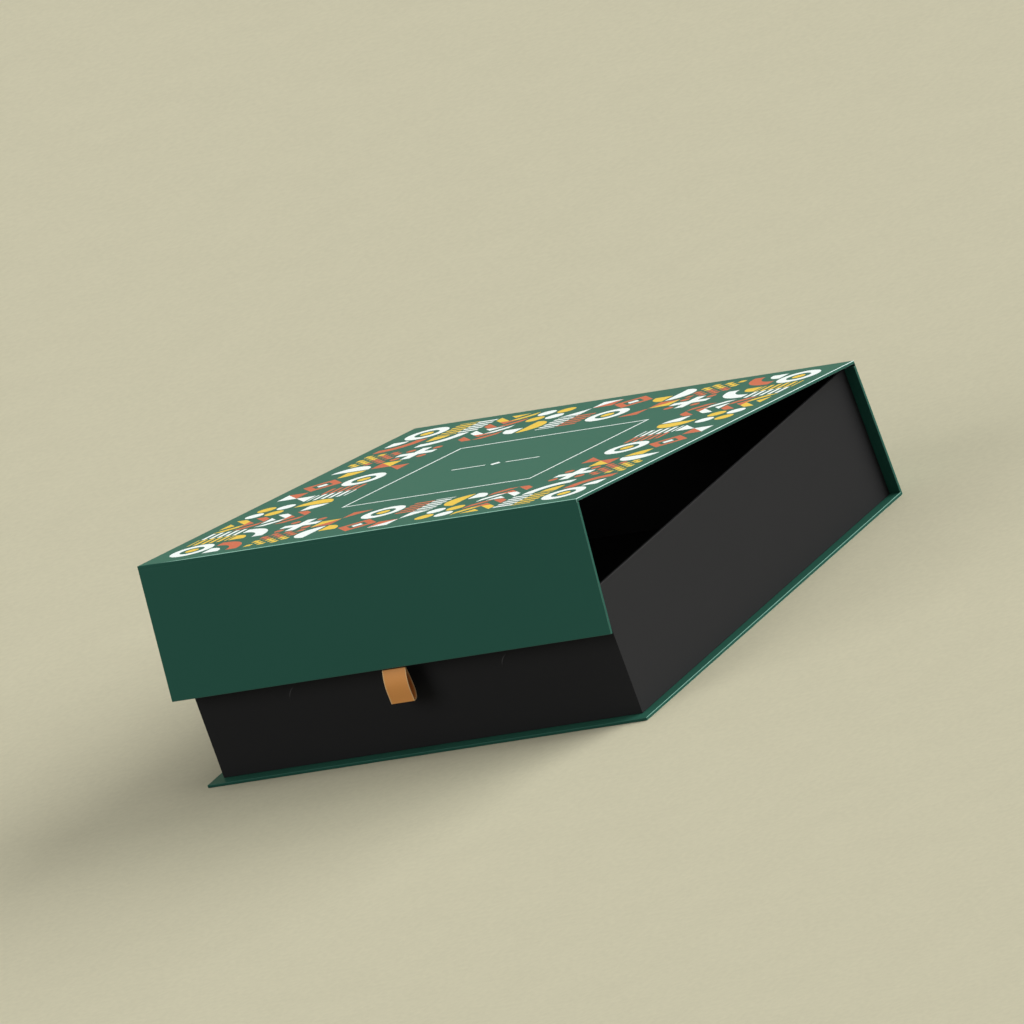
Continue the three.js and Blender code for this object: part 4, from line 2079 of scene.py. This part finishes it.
@dataclass(frozen=True)
class Studio:
    """Floor, light and camera.

    The floor's own grain is a sum of slow clouds and fine fibres between its colour and a deeper one.
    The camera looks at aim against the way of back, with right and up as the ways of its picture,
    which is as wide as width in metres.
    """

    floor: Colour = (206, 201, 174)
    floor_bounce: Colour = (120, 120, 120)
    backdrop: Colour = (201, 196, 169)
    half_floor: float = 6.0
    floor_clouds: Noise = Noise(30.0, 6.0)
    floor_fibres: Noise = Noise(260.0, 3.0)
    fibre_share: float = 2.4
    floor_depth: float = 0.94
    floor_roughness: float = 0.9
    world: float = 0.14
    lamps: tuple[Lamp, ...] = (
        Lamp(name="key", towards=(0.14, 0.06, 1.0), spread=math.radians(50), strength=1.0),
        Lamp(name="rear right", towards=(0.7, 0.65, 0.3), spread=math.radians(60), strength=3.8),
        Lamp(name="front left", towards=(-0.5, -0.8, 0.5), spread=math.radians(40), strength=0.86),
    )
    aim: Direction = (-0.010814, 0.018589, 0.073196)
    right: Direction = (0.81884, 0.468782, -0.331277)
    up: Direction = (0.12667, 0.415323, 0.900812)
    back: Direction = (0.559871, -0.779584, 0.280702)
    width: float = 0.5726966
    distance: float = 2.0

    def build(self) -> None:
        """Makes all three."""
        self.ground()
        self.light()
        self.camera()

    def seen(self, graph: Graph) -> Sum:
        """Tells what the camera sees, straight or in gloss or glass, from what only lights.

        Args:
            graph: The material's graph.

        Returns:
            1 for what the camera sees, else 0.
        """
        path = graph.node("LightPath").outputs
        straight = Sum(graph.tree, path["Is Camera Ray"]) + Sum(graph.tree, path["Is Glossy Ray"])
        return (straight + Sum(graph.tree, path["Is Transmission Ray"])).least(1.0)

    def ground(self) -> None:
        """Lays the floor, a broad flat sheet with a faint grain."""
        half = self.half_floor
        corners = [(-half, -half, 0), (half, -half, 0), (half, half, 0), (-half, half, 0)]
        mesh = bpy.data.meshes.new("floor")
        mesh.from_pydata(corners, [], [(0, 1, 2, 3)])
        material, graph, shader = new_material("floor")
        cloud = graph.noise(graph.place(), self.floor_clouds)
        fibre = graph.noise(graph.place(), self.floor_fibres)
        tone = (cloud - 0.5) + (fibre - 0.5) * self.fibre_share + 0.5
        pale = linear(self.floor)
        deeper = tuple(value * self.floor_depth for value in pale[:3]) + (1.0,)
        colour = graph.mixed(self.seen(graph), linear(self.floor_bounce), graph.mixed(tone, deeper, pale))
        graph.set(shader, Base_Color=colour, Roughness=self.floor_roughness, Specular_IOR_Level=0.0)
        mesh.materials.append(material)
        floor = bpy.data.objects.new("floor", mesh)
        bpy.context.scene.collection.objects.link(floor)

    def light(self) -> None:
        """Lights the box from nearly overhead, with an even pale surround."""
        world = bpy.data.worlds.new("surround")
        bpy.context.scene.world = world
        world.use_nodes = True
        graph = Graph(world.node_tree)
        lighting = (self.world, self.world, self.world, 1.0)
        colour = graph.mixed(self.seen(graph), lighting, linear(self.backdrop))
        graph.set(world.node_tree.nodes["Background"], Color=colour, Strength=1.0)
        for lamp in self.lamps:
            lamp.build()

    def camera(self) -> None:
        """Sets the camera at the photograph's viewing angle."""
        lens = bpy.data.cameras.new("camera")
        lens.type = "ORTHO"
        lens.ortho_scale = self.width
        camera = bpy.data.objects.new("camera", lens)
        turn = Matrix((self.right, self.up, self.back)).transposed()
        place = Vector(self.aim) + self.distance * Vector(self.back)
        camera.matrix_world = Matrix.Translation(place) @ turn.to_4x4()
        bpy.context.scene.collection.objects.link(camera)
        bpy.context.scene.camera = camera


# The whole scene
def main() -> None:
    """Builds the scene in order."""
    logging.basicConfig(level=logging.INFO, format="%(name)s: %(message)s")
    bpy.context.scene.view_settings.view_transform = "Standard"
    Studio().build()
    green, printed = PALETTE.green.material(), PALETTE.printed.material()
    black, lining = PALETTE.black.material(), PALETTE.lining.material()
    CasePaper(ledge=PALETTE.green_ledge.material(), material=green).build()
    edge, bend = PALETTE.green_edge.material(), PALETTE.green_bend.material()
    LidPaper(plain=edge, printed=printed, bend=bend).build()
    FlapPaper(plain=green, lining=lining).build()
    TrayPaper(wrap=black, liner=lining).build()
    Ribbon(satin=PALETTE.satin.material()).build()
    finishes = {
        "board": PALETTE.board.material(),
        "stay": PALETTE.tape.material(),
        "magnet": PALETTE.steel.material(),
        "lining": lining,
    }
    Hidden(finishes).dress()


if __name__ == "__main__":
    main()
